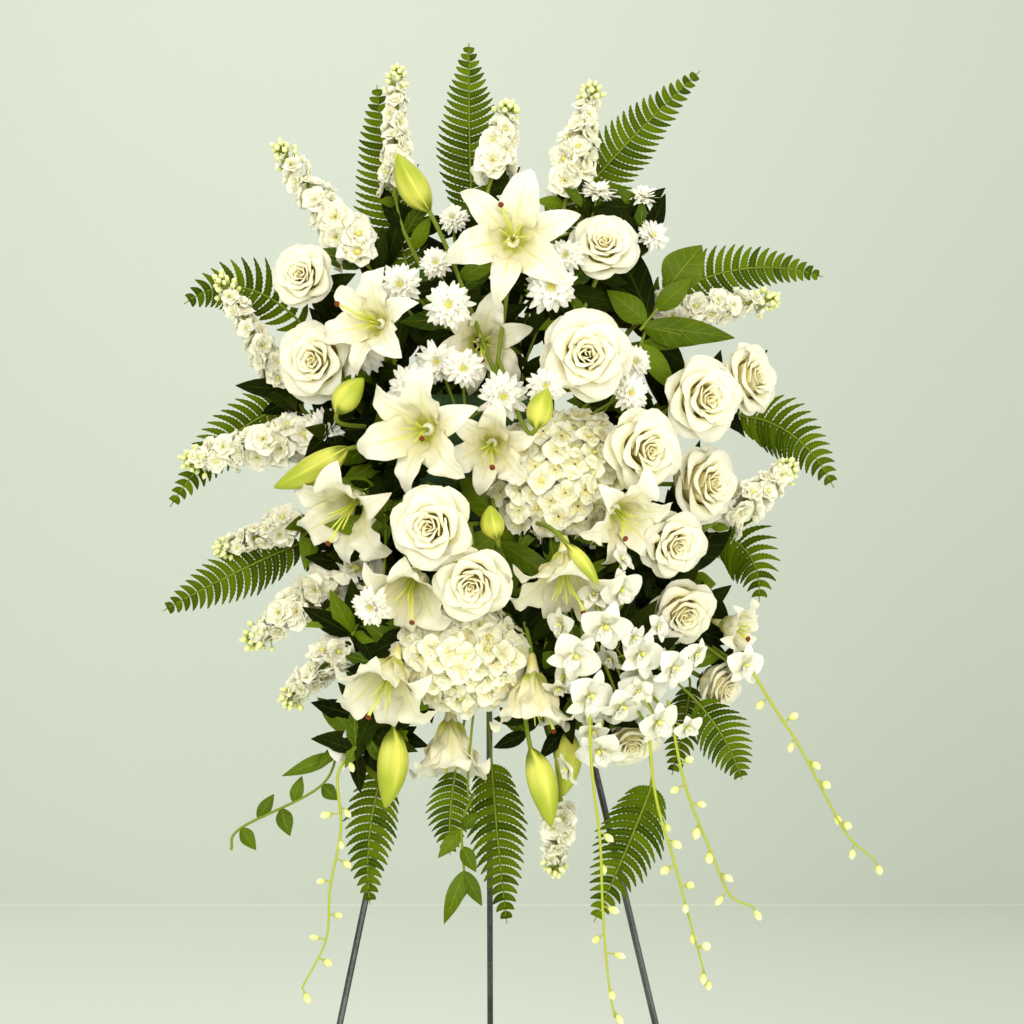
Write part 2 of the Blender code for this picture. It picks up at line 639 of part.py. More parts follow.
# A leafy stem: its points and centimetres forward; then leaves from base to tip with their half width.
LEAVES = {
    "ruscus_left": (
        [(340, 735, 13), (322, 785, 13), (241, 828, 14), (231, 850, 14)],
        [
            (300, 752, 282, 776, 14, 0.8),
            (322, 745, 318, 768, 15, 0.6),
            (243, 826, 256, 850, 15, 0.8),
            (262, 818, 274, 794, 13, 0.7),
            (280, 808, 290, 836, 15, 0.9),
            (292, 800, 302, 776, 13, 0.7),
            (322, 784, 338, 800, 14, 0.8),
        ],
    ),
    "ruscus_bottom": (
        [(474, 794, 12), (462, 824, 14), (464, 871, 15)],
        [
            (462, 826, 438, 858, 15.5, 0.8),
            (462, 830, 478, 812, 15.5, 0.7),
            (463, 848, 476, 872, 15.5, 0.8),
            (464, 868, 444, 924, 15.5, 0.9),
            (464, 868, 482, 906, 15.5, 0.8),
            (464, 870, 462, 900, 15, 0.8),
        ],
    ),
    "leaves_upper_right": (
        [(640, 330, 10), (664, 300, 9.5), (667, 288, 9.5)],
        [
            (665, 288, 702, 245, 9, 2.2),
            (655, 306, 692, 278, 10, 1.2),
            (648, 322, 607, 290, 10, 1.4),
            (646, 328, 708, 342, 9.5, 1.5),
            (648, 335, 735, 338, 9, 1.4),
            (648, 322, 572, 286, 4, 2.2),
            (644, 326, 606, 226, 4, 2.0),
            (644, 330, 680, 430, 4, 2.2),
        ],
    ),
    "leaves_right": (
        [(650, 560, 8), (685, 580, 8), (695, 584, 8)],
        [
            (660, 566, 700, 440, 6, 1.6),
            (690, 582, 716, 584, 9, 1.2),
            (690, 586, 664, 662, 10, 1.3),
            (694, 586, 730, 640, 5.5, 1.5),
            (655, 562, 612, 470, 3, 2.3),
            (670, 570, 736, 508, 3, 2.1),
            (655, 564, 598, 656, 4, 2.3),
            (655, 562, 640, 680, 4, 2.0),
        ],
    ),
    "leaves_left": (
        [(392, 444, 5.5), (374, 458, 6), (366, 464, 6)],
        [
            (372, 452, 322, 408, 7, 1.3),
            (366, 460, 388, 494, 8, 1.2),
            (364, 462, 330, 470, 7, 1.3),
            (386, 446, 409, 348, 7.5, 1.1),
            (380, 452, 352, 388, 7, 1.2),
            (386, 446, 330, 346, 2.5, 2.3),
            (388, 444, 388, 320, 2.5, 2.1),
            (370, 460, 316, 530, 2.5, 2.2),
            (376, 458, 380, 570, 2.5, 2.2),
        ],
    ),
    "mums_top": (
        [(478, 338, 6), (466, 300, 5), (458, 272, 4.5)],
        [
            (476, 330, 402, 296, 3, 2.1),
            (468, 306, 418, 232, 3, 2.0),
            (460, 280, 500, 206, 3, 2.0),
            (474, 322, 540, 268, 3.5, 2.2),
            (478, 336, 548, 330, 4, 1.8),
        ],
    ),
    "lily_hanging_right": (
        [(548, 636, 11.5), (552, 664, 12), (554, 684, 12)],
        [
            (554, 680, 594, 736, 11.5, 1.8),
            (553, 676, 514, 728, 11.5, 1.6),
            (550, 650, 606, 664, 11.5, 1.8),
            (554, 684, 560, 764, 11.5, 1.5),
        ],
    ),
    "lily_centre": (
        [(500, 512, 13), (498, 530, 13.5), (500, 542, 14)],
        [
            (500, 520, 458, 474, 13, 1.5),
            (498, 530, 446, 572, 14, 1.5),
            (500, 540, 569, 588, 17, 1.2),
            (500, 530, 548, 548, 13, 1.5),
            (500, 542, 520, 610, 14, 1.5),
        ],
    ),
}
# The face of the foam that each node's stems go into.
FACE_OF = {
    "roses_left": "left",
    "roses_right_upper": "right",
    "roses_right_middle": "right",
    "orchid_far_right": "right",
    "roses_right_lower": "right",
    "lily_left_upper": "left",
    "lily_right_edge": "right",
    "stock_top_left": "top",
    "stock_top_right": "top",
    "stock_left_upper": "top",
    "stock_right_upper": "right",
    "stock_left_middle": "left",
    "stock_left_lower": "left",
    "stock_right_middle": "right",
    "mums_top": "top",
    "mums_top_right": "top",
    "mums_left": "left",
    "fern_top_left": "top",
    "fern_top": "top",
    "fern_top_right": "top",
    "fern_right_upper": "right",
    "fern_right_middle": "right",
    "fern_right_lower": "right",
    "fern_left_upper": "left",
    "fern_left_middle": "left",
    "fern_left_lower": "left",
    "leaves_upper_right": "right",
    "leaves_right": "right",
    "leaves_left": "left",
}
STEM_RADIUS = {
    "roses": 0.0025,
    "hydrangea": 0.0026,
    "lilies": 0.0024,
    "lily": 0.0024,
    "stock": 0.0024,
    "mums": 0.0014,
    "orchid": 0.0015,
    "fern": 0.0014,
    "ruscus": 0.0013,
    "leaves": 0.0017,
}
# The share of its triangles that a kind of node keeps: first with its blooms joined, last with its stems.
THINNED_LAST = {"hydrangea": 0.86, "fern": 0.77, "leaves": 0.64, "roses": 0.72, "mums": 0.74, "lilies": 0.73}
THINNED_FIRST = {"hydrangea": 0.75, "orchid": 0.8, "lilies": 0.72, "roses": 1.0, "fern": 1.0, "mums": 1.0}
THINNED_ELSE = (0.75, 0.76)  # first and last, for the other kinds
COLOURS = {
    "roses": ((0.93, 0.90, 0.78), 0.55),
    "hydrangea": ((0.92, 0.93, 0.85), 0.60),
    "lilies": ((0.94, 0.94, 0.86), 0.45),
    "lily": ((0.94, 0.94, 0.86), 0.45),
    "stock": ((0.93, 0.92, 0.87), 0.65),
    "mums": ((0.93, 0.94, 0.85), 0.60),
    "orchid": ((0.80, 0.86, 0.55), 0.50),
    "fern": ((0.09, 0.25, 0.04), 0.55),
    "ruscus": ((0.07, 0.20, 0.04), 0.45),
    "leaves": ((0.10, 0.24, 0.04), 0.45),
}
FACES = {
    "front": (np.array([0.0, -1.0, 0.0]), 1),
    "top": (np.array([0.0, 0.0, 1.0]), 2),
    "left": (np.array([-1.0, 0.0, 0.0]), 0),
    "right": (np.array([1.0, 0.0, 0.0]), 0),
}
# How far from the block's middle a hole may be, across each of its three directions.
HOLE_LIMITS = np.array([0.043, 0.036, 0.093])


def kind_of(name):
    return name.split("_")[0]


def blooms_of(name, grow=0.0):
    """Every (parts, foot, axis) of a node, without its stems."""
    found = []
    for across, down, forward, radius, right, up, opened in ROSES.get(name, []):
        found.append(rose_parts(at(across, down, forward), radius * CM, right, up, opened, grow))
    for across, down, forward, wide, tall, deep, seed in HYDRANGEAS.get(name, []):
        radii = (wide * CM, tall * CM, deep * CM)
        found.append(hydrangea_parts(at(across, down, forward), radii, seed, grow))
    for across, down, forward, length, right, up, opened in LILIES.get(name, []):
        found.append(lily_parts(at(across, down, forward), length * CM, right, up, opened, grow))
    for across, down, across_tip, down_tip, forward, radius in LILY_BUDS.get(name, []):
        base, tip = at(across, down, forward), at(across_tip, down_tip, forward)
        length, axis = float(np.linalg.norm(tip - base)), unit(tip - base)
        swell = [(0.0, 0.40 * radius * CM), (0.45 * length, radius * CM)]
        found.append(([cone(base, axis, swell, tip, 5, grow)], base + 0.12 * length * axis, axis))
    for across, down, across_tip, down_tip, forward, radius, seed in STOCKS.get(name, []):
        base, tip = at(across, down, forward), at(across_tip, down_tip, forward - 1.0)
        found.append(stock_parts(base, tip, radius * CM, seed, grow))
    for across, down, forward, radius, right, up in MUMS.get(name, []):
        found.append(mum_parts(at(across, down, forward), radius * CM, right, up, grow))
    for across, down, forward, radius, right, up in ORCHID_BLOOMS.get(name, []):
        found.append(orchid_parts(at(across, down, forward), radius * CM, right, up, grow))
    for points, (start, end), buds in ORCHID_TRAILS.get(name, []):
        found.append(trail_parts(points, start, end, buds, grow))
    for base, bend, tip, half_width in FERNS.get(name, []):
        path = np.array([at(*base), at(*bend), at(*tip)])
        pairs = int(np.clip(round(np.linalg.norm(path[2] - path[0]) / 0.0135), 7, 12))
        found.append(fern_parts(path, half_width * CM, pairs, 0.45, np.array([0.0, -1.0, 0.0]), grow))
    if name in LEAVES:
        found.append(leafy_parts(*LEAVES[name], grow))
    return found


def trail_parts(points, start, end, buds, grow):
    """A trailing orchid stem with its buds."""
    forward = np.linspace(start, end, len(points))
    path = np.array([at(across, down, out) for (across, down), out in zip(points, forward)])
    parts = [tube(path, np.linspace(0.0015, 0.0011, len(path)), 3, grow)]
    for across, down in buds:
        share = np.argmin([abs(down - p[1]) + abs(across - p[0]) for p in points])
        bud = at(across, down, forward[share])
        gaps = np.linalg.norm(path - bud, axis=1)
        nearest = int(np.argmin(gaps))
        other = nearest + (1 if nearest + 1 < len(path) else -1)
        along = path[other] - path[nearest]
        t = float(np.clip(np.dot(bud - path[nearest], along) / np.dot(along, along), -0.6, 0.95))
        if nearest == 0 or nearest == len(path) - 1:
            t = max(t, 0.0)
        if t < 0 and 0 < nearest:
            along = path[nearest - 1] - path[nearest]
            t = float(np.clip(np.dot(bud - path[nearest], along) / np.dot(along, along), 0.0, 0.95))
        foot = path[nearest] + t * along
        reach = bud - foot
        reach = reach if np.linalg.norm(reach) > 0.004 else np.array([0.006, 0.0, -0.003])
        parts.append(spindle(foot - 0.0012 * unit(reach), foot + 1.3 * reach, 0.0046, 3, 0.72, grow))
    return parts, path[0], unit(path[0] - path[1])


def leafy_parts(points, leaves, grow):
    """A stem that carries leaves."""
    path = np.array([at(*point) for point in points])
    parts = [tube(path, 0.0015, 4, grow)]
    face = np.array([0.0, -1.0, 0.0])
    for across, down, across_tip, down_tip, forward, half_width in leaves:
        tip = at(across_tip, down_tip, forward)
        wanted = at(across, down, forward)
        shares = np.linspace(0.0, 1.0, 5)
        places = [path[i] + t * (path[i + 1] - path[i]) for i in range(len(path) - 1) for t in shares]
        base = places[int(np.argmin([np.linalg.norm(place - wanted) for place in places]))]
        parts += leaf_parts(base, tip, half_width * CM, face, grow)[0]
    return parts, path[0], unit(path[0] - path[1])


def hole_places(names):
    """Where each node's stems enter the foam: towards its blooms, and apart from the other holes."""
    centre = np.array(FOAM_CENTRE)
    half = np.array(FOAM_HALF)
    places, normals = {}, {}
    for name in names:
        normal, fixed = FACES[FACE_OF.get(name, "front")]
        goal = np.mean([foot for _, foot, _ in blooms_of(name)], axis=0) - centre
        spread = np.array([0.30, 0.45, 0.34]) * goal
        place = np.clip(spread, -HOLE_LIMITS, HOLE_LIMITS)
        place[fixed] = normal[fixed] * half[fixed]
        places[name], normals[name] = place, normal
    for _ in range(400):
        moved = {name: place.copy() for name, place in places.items()}
        for a in names:
            for b in names:
                if a == b or np.dot(normals[a], normals[b]) < 0.5:
                    continue
                apart = places[a] - places[b]
                distance = np.linalg.norm(apart) + 1e-9
                if distance < HOLE_APART:
                    moved[a] += 0.25 * (HOLE_APART - distance) * (apart + 1e-5) / distance
        for name in names:
            fixed = int(np.argmax(np.abs(normals[name])))
            place = np.clip(moved[name], -HOLE_LIMITS, HOLE_LIMITS)
            place[fixed] = normals[name][fixed] * half[fixed]
            places[name] = place
    return {name: (places[name] + centre, normals[name]) for name in names}


def stems_of(name, holes, grow=0.0):
    """A node's stems: the first from its hole, and the others branching from it, each to its bloom's foot."""
    mouth, normal = holes[name]
    radius = STEM_RADIUS[kind_of(name)]
    inside = mouth - (HOLE_DEPTH - 0.002) * normal
    parts = []
    for number, (_, foot, axis) in enumerate(blooms_of(name)):
        if number == 0:
            start, lead = mouth + 0.004 * normal, normal
        else:
            share = 0.16 * (number - 1)
            start = main[2] + share * (main[3] - main[2])
            lead = unit(foot - start)
        away = float(np.linalg.norm(foot - start))
        path = curve(start, 0.30 * away * lead, foot, 0.30 * away * axis, 4 if away > 0.06 else 3)
        if number == 0:
            path = np.vstack([inside, path])
            main = path
        parts.append(tube(path, radius, 3, grow))
    return parts


# Solids in Blender.


def add_mesh(name, points, faces):
    """An object with the drawing's middle brought over the middle of the object's box."""
    mesh = bpy.data.meshes.new(name)
    shifted = np.asarray(points) - np.array([SHIFT_ACROSS, SHIFT_BACK, 0.0])
    mesh.from_pydata(shifted.tolist(), [], faces)
    mesh.update()
    made = bpy.data.objects.new(name, mesh)
    bpy.context.scene.collection.objects.link(made)
    return made


def remove(objects):
    for one in objects:
        mesh = one.data
        bpy.data.objects.remove(one)
        bpy.data.meshes.remove(mesh)


def triangle_count(thing):
    return len(thing.data.polygons)


def combine(target, others, operation):
    """Applies one Boolean of `others`, as a collection, to `target`."""
    if not others:
        return target
    holder = bpy.data.collections.new("operands")
    bpy.context.scene.collection.children.link(holder)
    for one in others:
        holder.objects.link(one)
    modifier = target.modifiers.new("join", "BOOLEAN")
    modifier.operation = operation
    modifier.solver = "MANIFOLD"
    modifier.operand_type = "COLLECTION"
    modifier.collection = holder
    graph = bpy.context.evaluated_depsgraph_get()
    made = bpy.data.meshes.new_from_object(target.evaluated_get(graph))
    target.modifiers.clear()
    old = target.data
    target.data = made
    bpy.data.meshes.remove(old)
    bpy.data.collections.remove(holder)
    return target


def triangulate(thing):
    work = bmesh.new()
    work.from_mesh(thing.data)
    bmesh.ops.triangulate(work, faces=work.faces[:])
    work.to_mesh(thing.data)
    work.free()


def keep_largest(thing):
    """Drops what isn't joined to the node's largest body."""
    work = bmesh.new()
    work.from_mesh(thing.data)
    work.verts.ensure_lookup_table()
    seen = set()
    bodies = []
    for vertex in work.verts:
        if vertex in seen:
            continue
        body, front = [], [vertex]
        seen.add(vertex)
        while front:
            current = front.pop()
            body.append(current)
            for edge in current.link_edges:
                other = edge.other_vert(current)
                if other not in seen:
                    seen.add(other)
                    front.append(other)
        bodies.append(body)
    bodies.sort(key=len)
    for body in bodies[:-1]:
        bmesh.ops.delete(work, geom=body, context="VERTS")
    work.to_mesh(thing.data)
    work.free()
    return len(bodies) - 1


def thin_out(thing, share):
    """Collapses the short edges that the unions leave, down to this share of the triangles."""
    modifier = thing.modifiers.new("thin", "DECIMATE")
    modifier.ratio = share
    modifier.use_collapse_triangulate = True
    graph = bpy.context.evaluated_depsgraph_get()
    made = bpy.data.meshes.new_from_object(thing.evaluated_get(graph))
    thing.modifiers.clear()
    old = thing.data
    thing.data = made
    bpy.data.meshes.remove(old)


def fuse(name, parts):
    """One object from closed parts."""
    pieces = [add_mesh(f"{name}_{number}", *part) for number, part in enumerate(parts)]
    whole = combine(pieces[0], pieces[1:], "UNION")
    remove(pieces[1:])
    whole.name = name
    return whole


def box_of(thing):
    points = np.empty(len(thing.data.vertices) * 3, np.float32)
    thing.data.vertices.foreach_get("co", points)
    points = points.reshape(-1, 3)
    return points.min(axis=0), points.max(axis=0)


def boxes_meet(first, second, margin=0.002):
    low_a, high_a = box_of(first)
    low_b, high_b = box_of(second)
    return bool(np.all(low_a - margin < high_b) and np.all(low_b - margin < high_a))


def material(name, colour, roughness, metallic=0.0):
    made = bpy.data.materials.new(name)
    made.use_nodes = True
    shader = made.node_tree.nodes["Principled BSDF"]
    shader.inputs["Base Color"].default_value = (*colour, 1.0)
    shader.inputs["Roughness"].default_value = roughness
    shader.inputs["Metallic"].default_value = metallic
    return made


# The stand.


def box_part(low, high):
    """A block between two opposite corners."""
    (left, near, bottom), (right, far, top) = low, high
    corners = ((left, near), (right, near), (right, far), (left, far))
    return loft([[(x, y, bottom) for x, y in corners], [(x, y, top) for x, y in corners]])


def leg_line(side):
    """The foot and top of a front leg, on its centre line."""
    foot_across = LEFT_FOOT_ACROSS if side < 0 else RIGHT_FOOT_ACROSS
    foot = np.array([foot_across, FRONT_FEET_BACK, 0.0])
    top = np.array([EASEL_ACROSS + side * TOP_HALF_GAP, TOP_BACK, TOP_HEIGHT])
    return foot, top


def rear_line():
    """The foot of the rear leg and the pin that it hangs from."""
    return np.array([EASEL_ACROSS, REAR_FOOT_BACK, 0.0]), pin_centre()


def pin_centre():
    """The middle of the pin, between the front legs near their tops."""
    foot, top = leg_line(1)
    share = PIN_DROP / TOP_HEIGHT
    back = top[1] + share * (foot[1] - top[1])
    return np.array([EASEL_ACROSS, back, TOP_HEIGHT - PIN_DROP])


def easel_front():
    """The bent rod of the two front legs, with its pin, cross-bar and hooks."""
    left_foot, left_top = leg_line(-1)
    right_foot, right_top = leg_line(1)
    left_start = left_foot + (left_top - left_foot) * FOOT_LIFT / TOP_HEIGHT
    right_start = right_foot + (right_top - right_foot) * FOOT_LIFT / TOP_HEIGHT
    crown = np.array([EASEL_ACROSS, TOP_BACK + CROWN_BACK, TOP_HEIGHT + CROWN_RISE])
    shoulder = np.array([CROWN_HALF, 0.0, 0.0])
    path = [left_start, left_top, crown - shoulder, crown + shoulder, right_top, right_start]
    parts = [tube(path, ROD_RADIUS, ROD_SIDES)]
    pin = pin_centre()
    reach = np.array([TOP_HALF_GAP + 0.0025, 0.0, 0.0])
    parts.append(tube([pin - reach, pin + reach], PIN_RADIUS, ROD_SIDES))
    share = 1.0 - HOOK_HEIGHT / TOP_HEIGHT
    left = left_top + share * (left_foot - left_top)
    right = right_top + share * (right_foot - right_top)
    parts.append(tube([left, right], HOOK_RADIUS, 6))
    front = FOAM_CENTRE[1] - FOAM_HALF[1] - TRAY_WALL - 0.009
    for side in (-1, 1):
        across = FOAM_CENTRE[0] + side * HOOK_APART
        start = np.array([across, left[1], HOOK_HEIGHT])
        low = np.array([across, front + 0.006, HOOK_HEIGHT])
        turn = np.array([across, front, HOOK_HEIGHT + 0.006])
        end = np.array([across, front, HOOK_HEIGHT + 0.030])
        parts.append(tube([start, low, turn, end], HOOK_RADIUS, 6))
    return fuse("easel_front", parts)


def easel_rear_leg():
    """The rear leg, with the eye that turns on the pin."""
    foot, pin = rear_line()
    direction = unit(foot - pin)
    start = pin + direction * (EYE_INSIDE + 0.0018)
    end = foot - direction * FOOT_LIFT
    leg = tube([start, start + 0.4 * (end - start), end], ROD_RADIUS, ROD_SIDES)
    width = np.array([EYE_HALF_WIDTH, 0.0, 0.0])
    ring = tube([pin - width, pin + width], EYE_OUTSIDE, 12)
    whole = fuse("easel_rear_leg", [leg, ring])
    hole = add_mesh("eye_hole", *tube([pin - 2 * width, pin + 2 * width], EYE_INSIDE, 12))
    combine(whole, [hole], "DIFFERENCE")
    remove([hole])
    return whole


def foot_tip(name, foot, top):
    """A rubber tip: a flat base under a blind hole for the rod's end."""
    direction = unit(top - foot)
    outside = tube([foot - 0.012 * direction, foot + TIP_HEIGHT * direction], TIP_RADIUS, 12)
    whole = add_mesh(name, *outside)
    floor = add_mesh("floor", *box_part(foot - [0.05, 0.05, 0.05], foot + [0.05, 0.05, 0.0]))
    start = foot + TIP_FLOOR * direction
    hole = add_mesh("hole", *tube([start, foot + 0.05 * direction], ROD_RADIUS + GAP / 0.92, ROD_SIDES))
    combine(whole, [floor, hole], "DIFFERENCE")
    remove([floor, hole])
    return whole


def foam_and_tray(holes):
    """The foam block with its stem holes, and the tray and back plate that hang it on the easel."""
    centre, half = np.array(FOAM_CENTRE), np.array(FOAM_HALF)
    foam = add_mesh("foam_block", *box_part(centre - half, centre + half))
    cutters = []
    for name, (mouth, normal) in holes.items():
        path = [mouth - HOLE_DEPTH * normal, mouth + 0.01 * normal]
        cutters.append(add_mesh("cutter", *tube(path, STEM_RADIUS[kind_of(name)] + HOLE_SPARE, 3)))
    combine(foam, cutters, "DIFFERENCE")
    remove(cutters)
    spare = GAP
    back = centre[1] + half[1] + spare
    low_z, high_z = centre[2] - half[2] - spare, centre[2] + half[2]
    left, right = centre[0] - half[0] - spare, centre[0] + half[0] + spare
    front = centre[1] - half[1] - spare
    parts = [
        box_part((left, back, low_z - TRAY_WALL), (right, back + TRAY_WALL, high_z)),
        box_part((left, front - TRAY_WALL, low_z - TRAY_WALL), (right, back + 0.001, low_z)),
        box_part((left, front - TRAY_WALL, low_z - 0.001), (right, front, low_z + TRAY_LIP)),
    ]
    for side, edge in ((-1, left), (1, right)):
        inner, outer = sorted((edge, edge + side * TRAY_WALL))
        low = (inner, front - TRAY_WALL, low_z - TRAY_WALL)
        high = (outer, back + TRAY_WALL, low_z + TRAY_LIP)
        parts.append(box_part(low, high))
    # A flat hook from the plate's top over the crown of the easel.
    over = TOP_HEIGHT + CROWN_RISE + ROD_RADIUS + GAP
    behind = TOP_BACK + CROWN_BACK + ROD_RADIUS + 2 * GAP
    low_x, high_x = EASEL_ACROSS - STRAP_HALF, EASEL_ACROSS + STRAP_HALF
    parts += [
        box_part((low_x, back, high_z - 0.02), (high_x, back + TRAY_WALL, over + TRAY_WALL)),
        box_part((low_x, back, over), (high_x, behind + TRAY_WALL, over + TRAY_WALL)),
        box_part((low_x, behind, over - STRAP_DROP), (high_x, behind + TRAY_WALL, over + TRAY_WALL)),
    ]
    tray = fuse("holder_tray", parts)
    return foam, tray


# Assembly.


def build():
    for thing in list(bpy.data.objects):
        bpy.data.objects.remove(thing)

    tables = (ROSES, LILIES, STOCKS, MUMS, ORCHID_BLOOMS, FERNS, LEAVES, HYDRANGEAS)
    names = []
    for table in tables:
        names += [name for name in table if name not in names]
    holes = hole_places(names)

    steel = material("easel_steel", (0.10, 0.10, 0.105), 0.35, 0.9)
    rubber = material("tip_rubber", (0.03, 0.03, 0.03), 0.75)
    plastic = material("tray_plastic", (0.04, 0.12, 0.05), 0.45)
    foam_green = material("foam_green", (0.08, 0.17, 0.07), 0.9)
    front = easel_front()
    rear = easel_rear_leg()
    front.data.materials.append(steel)
    rear.data.materials.append(steel)
    for name, (foot, top) in (
        ("foot_tip_left", leg_line(-1)),
        ("foot_tip_right", leg_line(1)),
        ("foot_tip_rear", rear_line()),
    ):
        foot_tip(name, foot, top).data.materials.append(rubber)
    foam, tray = foam_and_tray(holes)
    foam.data.materials.append(foam_green)
    tray.data.materials.append(plastic)

    centre, half = np.array(FOAM_CENTRE), np.array(FOAM_HALF)
    clearance = box_part(centre - half - HOLDER_SPARE[0], centre + half + HOLDER_SPARE[1])
    grown_stand = [fuse("grown_tray", [clearance])]
    grown_stems = {name: fuse(f"grown_stem_{name}", stems_of(name, holes, GROWN)) for name in names}
    grown_blooms = {}
    for name in names:
        parts = [part for parts, _, _ in blooms_of(name) for part in parts]
        grown_parts = [part for parts, _, _ in blooms_of(name, GROWN) for part in parts]
        whole = fuse(name, parts)
        thin_out(whole, THINNED_FIRST.get(kind_of(name), THINNED_ELSE[0]))
        cutters = [other for key, other in grown_stems.items() if key != name]
        cutters += [*grown_blooms.values(), *grown_stand]
        combine(whole, [other for other in cutters if boxes_meet(whole, other)], "DIFFERENCE")
        grown_blooms[name] = fuse(f"grown_bloom_{name}", grown_parts)
        stems = [add_mesh("stem", *part) for part in stems_of(name, holes)]
        combine(whole, stems, "UNION")
        remove(stems)
        dropped = keep_largest(whole)
        triangulate(whole)
        thin_out(whole, THINNED_LAST.get(kind_of(name), THINNED_ELSE[1]))
        whole.data.materials.clear()
        colour, roughness = COLOURS[kind_of(name)]
        whole.data.materials.append(material(name, colour, roughness))
        print(f"{name}: {triangle_count(whole)} triangles, {dropped} scraps dropped")
    remove(list(grown_stems.values()) + list(grown_blooms.values()) + grown_stand)
    for thing in (front, rear, foam, tray):
        triangulate(thing)
        print(f"{thing.name}: {triangle_count(thing)} triangles")


build()
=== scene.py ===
# Standing funeral spray on a wire easel: looks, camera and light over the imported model.
import math
import bpy
import numpy as np
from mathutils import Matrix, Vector


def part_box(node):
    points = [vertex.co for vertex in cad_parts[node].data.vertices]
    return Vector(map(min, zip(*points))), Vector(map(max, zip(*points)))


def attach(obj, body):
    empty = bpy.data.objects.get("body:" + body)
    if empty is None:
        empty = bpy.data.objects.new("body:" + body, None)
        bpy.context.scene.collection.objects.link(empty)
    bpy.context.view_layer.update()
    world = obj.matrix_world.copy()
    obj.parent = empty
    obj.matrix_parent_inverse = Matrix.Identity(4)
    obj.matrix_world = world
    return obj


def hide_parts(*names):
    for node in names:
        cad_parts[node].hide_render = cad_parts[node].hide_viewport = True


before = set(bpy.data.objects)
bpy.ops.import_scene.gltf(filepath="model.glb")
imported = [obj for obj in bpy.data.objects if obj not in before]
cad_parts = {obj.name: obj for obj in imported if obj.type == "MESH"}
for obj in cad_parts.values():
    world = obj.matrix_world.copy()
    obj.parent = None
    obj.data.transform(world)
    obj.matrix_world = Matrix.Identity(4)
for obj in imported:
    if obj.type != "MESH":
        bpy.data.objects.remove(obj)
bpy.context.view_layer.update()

scene = bpy.context.scene
cm = 0.01
golden = math.radians(137.508)  # the turn from one floret to the next
thin = 0.0006  # a petal or leaf, in metres

# The drawing that the CAD uses, seen level from planDistance in front of the flowers' plane.
planUnit = 0.00108  # metres a unit
planCentre = (512.0, 512.0)
planHeight = 1.098
planDistance = 2.6
planBack = -0.080  # y of the plane in the frame


# A point of the drawing, some centimetres out of its plane: the offsets shrink with the distance left to the eye.
def at(across, down, forward):
    nearer = (planDistance - forward * cm) / planDistance
    return np.array([(across - planCentre[0]) * planUnit * nearer,
                     planBack - forward * cm,
                     planHeight + (planCentre[1] - down) * planUnit * nearer])


def unit(v):
    v = np.asarray(v, float)
    return v / np.linalg.norm(v, axis=-1, keepdims=True)


# Towards the viewer, turned right and then up by degrees: (sin a cos b, -cos a cos b, sin b).
def facing(turnRight, turnUp):
    a, b = math.radians(turnRight), math.radians(turnUp)
    return np.array([math.sin(a) * math.cos(b), -math.cos(a) * math.cos(b), math.sin(b)])


# Two directions square to an axis, the second one as near the hint as it goes.
def frameOf(axis, hint=(0.0, 0.0, 1.0)):
    axis = unit(axis)
    up = np.asarray(hint, float) - np.dot(hint, axis) * axis
    if np.linalg.norm(up) < 1e-3:
        up = np.array([0.0, 1.0, 0.0]) - axis[1] * axis
    up = unit(up)
    return np.cross(up, axis), up


# The direction at an angle round the axis: cos times side plus sin times up.
def around(side, up, turn):
    return math.cos(turn) * side + math.sin(turn) * up


# Half width along a petal: sin of pi times (start + span s^lean), to a power that rounds it.
def swell(s, start, span, lean, power):
    return np.sin(math.pi * np.clip(start + span * s ** lean, 0, 1)) ** power


# Surfaces. Each is closed, and a chunk is (points, face arrays, coords, material), with coords (along, across, vary).

# A sheet and the same sheet pushed back by its thickness along its normals, the two sharing their rim.
def closedSheet(top, thick, vary, mat):
    rows, cols = top.shape[:2]
    normal = np.cross(np.gradient(top, axis=0), np.gradient(top, axis=1))
    normal /= np.linalg.norm(normal, axis=2, keepdims=True) + 1e-12
    under = top - thick * normal
    points = np.vstack([top.reshape(-1, 3), under[1:-1, 1:-1].reshape(-1, 3)])
    above = np.arange(rows * cols).reshape(rows, cols)
    below = above.copy()
    below[1:-1, 1:-1] = rows * cols + np.arange((rows - 2) * (cols - 2)).reshape(rows - 2, cols - 2)
    faces = [np.stack([g[:-1, :-1], g[1:, :-1], g[1:, 1:], g[:-1, 1:]], -1).reshape(-1, 4) for g in (above, below)]
    u, v = np.meshgrid(np.linspace(0, 1, rows), np.linspace(-1, 1, cols), indexing="ij")
    coords = np.stack([u, v, np.full_like(u, vary)], -1)
    coords = np.vstack([coords.reshape(-1, 3), coords[1:-1, 1:-1].reshape(-1, 3)])
    return points, [faces[0], faces[1][:, ::-1]], coords, mat


